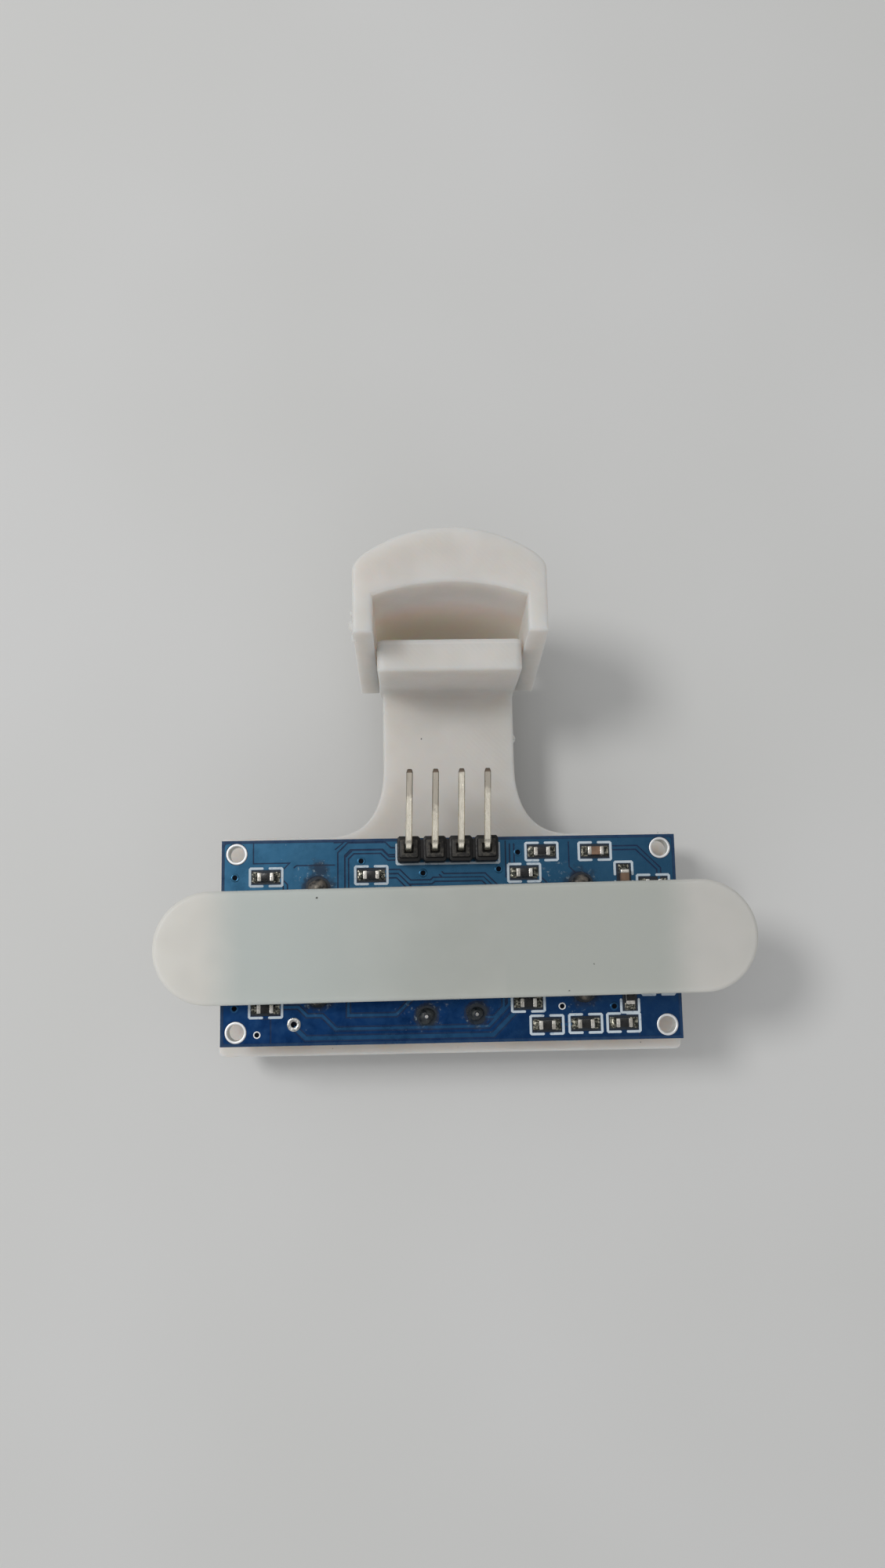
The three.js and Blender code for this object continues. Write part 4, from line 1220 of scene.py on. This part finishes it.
# ---- joints with wire leads
def build_lead(node, name, wire, solder, metal_look, seed, spread=1.0):
    """A wire end through the board, in an uneven dome of solder on the board's back."""
    box = Box(node)
    pick = random.Random(seed)
    twice, thrice = pick.uniform(0, 6.28), pick.uniform(0, 6.28)
    uneven = lambda turn: 1 + 0.06 * math.sin(2 * turn + twice) + 0.04 * math.sin(3 * turn + thrice)
    radius, top, edge, dome_top = 0.95 * spread, box.high.z, BACK + 0.05, BACK + 0.72
    profile = [(0, BACK - 0.01), (radius, BACK - 0.01), (radius, edge)]
    profile += [(wire + (radius - wire) * c, edge + (dome_top - edge) * s) for c, s in quarter(7)[1:-1]]
    profile += [(wire * 1.15, dome_top), (0, dome_top)]
    dome = turned(profile, box.mid.x, box.mid.y, sides=40, wobble=uneven)
    rod = turned([(0, box.low.z), (wire, box.low.z), (wire, top - 0.08), (wire * 0.7, top), (0, top)],
                 box.mid.x, box.mid.y, sides=20)
    piece(name, {solder: [dome], metal_look: [rod]}, [node], crease=50)


def build_leads():
    for k, side in enumerate(CAN_X):
        for i in (1, 2):
            build_lead(f"{side}_lead_{i}", f"{side}_wire_{i}", 0.35, "fluxed", "dull_wire", 20 + 2 * k + i)
    for i in (1, 2):
        build_lead(f"crystal_lead_{i}", f"crystal_wire_{i}", 0.22, "dark_flux", "leads", 30 + i,
                   0.92 - 0.1 * i)


# ---- transducers
def can_profile(top):
    """A drawn cup with a rolled lip below and a shallow groove near its rim."""
    radius, wall, corner, lip = CAN["radius"], CAN["wall"], CAN["corner"], CAN["radius"] - CAN["lip"]
    groove = radius - 0.06
    return [
        (lip, 0.12), (lip + 0.1, 0.02), (lip + 0.2, 0.0),
        *((radius - corner + corner * s, corner - corner * c) for c, s in quarter(6)),
        (radius, top - 0.9), (groove, top - 0.8), (groove, top - 0.65), (radius, top - 0.55),
        (radius, top - 0.03), (radius - 0.03, top), (radius - wall, top), (radius - wall, wall), (lip, wall),
    ]


def woven_wires(x, y, z, radius):
    """Crossed wires that pass over and under each other, cut to a disc."""
    pitch, wire = WEAVE["pitch"], WEAVE["wire"]
    section = [(wire * math.cos(a), wire * math.sin(a)) for a in (math.pi * k / 3 for k in range(6))]
    count = int(radius / pitch)
    shells = []
    for axis in (0, 1):
        for k in range(-count, count + 1):
            offset = k * pitch
            reach = math.sqrt(max(0.0, radius ** 2 - offset ** 2)) - 0.05
            steps = int(reach / (pitch / 2))
            if steps < 2:
                continue
            path = []
            for j in range(-steps, steps + 1):
                along = j * pitch / 2
                crest = math.cos(math.pi * along / pitch) * (1 if (k + axis) % 2 else -1)
                flat = (along, offset) if axis == 0 else (offset, along)
                path.append(((x + flat[0], y + flat[1], z + wire * crest), 1.0))
            shells.append(swept(path, section, (0, 1, 0) if axis == 0 else (1, 0, 0)))
    return shells


def horn_profile(horn):
    """A flared cup, closed at its throat and hollow below."""
    mouth, throat, wall, top = horn.size.x / 2, 0.9, 0.3, horn.high.z
    flare = [(throat + (mouth - throat) * (1 - k / 12) ** 1.35, horn.low.z + horn.size.z * k / 12)
             for k in range(13)]
    inner = [(max(0.0, radius - wall), z) for radius, z in flare[:-1]]
    return [(0, top), *reversed(flare), *inner, (throat - wall, top - wall), (0, top - wall)]


def build_transducer(side, x, y):
    can, grille, horn, disc, base = (Box(f"{side}_{node}")
                                     for node in ("can", "grille", "horn", "piezo_disc", "base"))
    shell = turned(can_profile(can.high.z), x, y, sides=128, ring_shaped=True)
    piece(f"{side}_shell", {"aluminium": [shell]}, [f"{side}_can"])
    wires = woven_wires(x, y, grille.mid.z, grille.size.x / 2)
    piece(f"{side}_mesh", {"mesh": wires}, [f"{side}_grille"], crease=80)
    cone = turned(horn_profile(horn), x, y, sides=72)
    piece(f"{side}_cone", {"horn": [cone]}, [f"{side}_horn"])
    half, low, middle, high = disc.size.x / 2, disc.low.z, disc.mid.z, disc.high.z
    brass = turned([(0, low), (half - 0.05, low), (half, low + 0.05), (half, middle - 0.05),
                    (half - 0.05, middle), (0, middle)], x, y, sides=72)
    ceramic = turned([(0, middle), (half - 0.9, middle), (half - 0.9, high - 0.05), (half - 0.95, high),
                      (0, high)], x, y, sides=72)
    parts = {"brass": [brass], "white_ceramic": [ceramic]}
    piece(f"{side}_disc", parts, [f"{side}_piezo_disc"])
    half, low, high = base.size.x / 2, base.low.z, base.high.z
    plug = turned([(0, low), (half - 0.2, low), (half, low + 0.2), (half, high - 0.25),
                   (half - 0.5, high - 0.05), (half * 0.6, high), (0, high)], x, y, sides=72)
    piece(f"{side}_plug", {"resin": [plug]}, [f"{side}_base"])


def build_crystal():
    """A low can on a flanged rim, its far end rounded."""
    top, low = CRYSTAL.high.z, CRYSTAL.low.z
    ease = 0.5
    levels = [("rim", 0.05, top), ("rim", 0.0, top - 0.06), ("rim", 0.0, top - 0.36),
              ("rim", 0.06, top - 0.44), ("rim", 0.3, top - 0.46), ("body", 0.0, top - 0.6),
              ("body", 0.02, low + ease)]
    levels += [("body", ease * (1 - c), low + ease * (1 - s)) for c, s in quarter(6)[1:]]
    rings = []
    for part, inset, z in levels:
        length, width = CRYSTAL_SHAPE[part]
        outline = stadium(length - 2 * inset, width - 2 * inset, CRYSTAL.mid.x, CRYSTAL.mid.y,
                          CRYSTAL_SHAPE["turn"], 18)
        rings.append([(px, py, z) for px, py in outline])
    piece("crystal_case", {"nickel": [loft(rings)]}, ["crystal_can"])


# ---- stage and light
def add_floor():
    look = Look("pale_paper", IOR=1.4, Specular_IOR_Level=0.2)
    fibres = look.noise(0.6, detail=5)
    tint = look.clouded(look.noise(60.0, detail=2), 0.3, 0.7, (222, 222, 220), (226, 226, 225))
    reach = 3.0  # metres
    corners = [(-reach, -reach, 0), (reach, -reach, 0), (reach, reach, 0), (-reach, reach, 0)]
    mesh = bpy.data.meshes.new("floor")
    mesh.from_pydata(corners, [], [(0, 1, 2, 3)])
    mesh.materials.append(look.done(tint, look.ramp(fibres, 0.3, 0.7, 0.75, 0.9),
                                    look.bump(fibres, 0.01, 0.3)))
    floor = linked("floor", mesh)


def add_lamp():
    """One soft lamp above and to the upper left."""
    towards = Vector((-0.58, 0.235, 1)).normalized()
    lamp = bpy.data.lights.new("key", "AREA")
    lamp.shape, lamp.size, lamp.energy = "DISK", 0.13, 0.72
    lamp.color = (1.0, 0.995, 0.985)
    key = linked("key", lamp)
    key.location = towards * 0.5
    key.rotation_mode = "QUATERNION"
    key.rotation_quaternion = towards.to_track_quat("Z", "Y")


def add_surround():
    """An even pale surround: dimmer low down, to the right, and in a patch overhead where an onlooker leans
    over the part, and brighter in a glow past that patch and low on the near side."""
    world = bpy.data.worlds.new("surround")
    bpy.context.scene.world = world
    world.use_nodes = True
    sky = Nodes(world.node_tree)
    x, y, z = sky.split(sky.value("Generated", "TexCoord"))
    height = sky.math("MAXIMUM", z, 0.05)
    aside, ahead = x / height, y / height
    onlooker = sky.ramp(abs(aside + 0.025), 0.075, 0.125, 1.0, 0.0) * sky.ramp(ahead, 0.0, 0.06, 1.0, 0.0)
    onlooker = onlooker * sky.ramp(ahead, -0.8, -0.5)
    even = sky.ramp(z, -0.1, 1.0, 0.56, 1.0) * sky.ramp(x, 0.1, 0.9, 1.0, 0.65)
    glow_x, glow_y = aside + 0.18, ahead - 0.34
    from_glow = sky.math("SQRT", glow_x * glow_x + glow_y * glow_y)
    strength = even + sky.ramp(from_glow, 0.12, 0.5, 0.55, 0.0)
    strength = strength * (1.0 - onlooker * 0.88) + sky.ramp(y, -0.45, -0.9, 0.0, 0.7)
    shader = sky.tree.nodes["Background"]
    shader.inputs["Color"].default_value = (0.985, 0.992, 1.0, 1.0)
    sky.feed(shader.inputs["Strength"], strength * 0.53)


# ---- assembly
build_bracket()
build_collar()
build_bar()
build_board()
build_header()
build_leads()
build_chip_parts()
build_chips()
for side_name, can_x in CAN_X.items():
    build_transducer(side_name, *on_board(can_x, 0))
build_crystal()
add_floor()
add_lamp()
add_surround()
bpy.context.scene.view_settings.view_transform = "Standard"
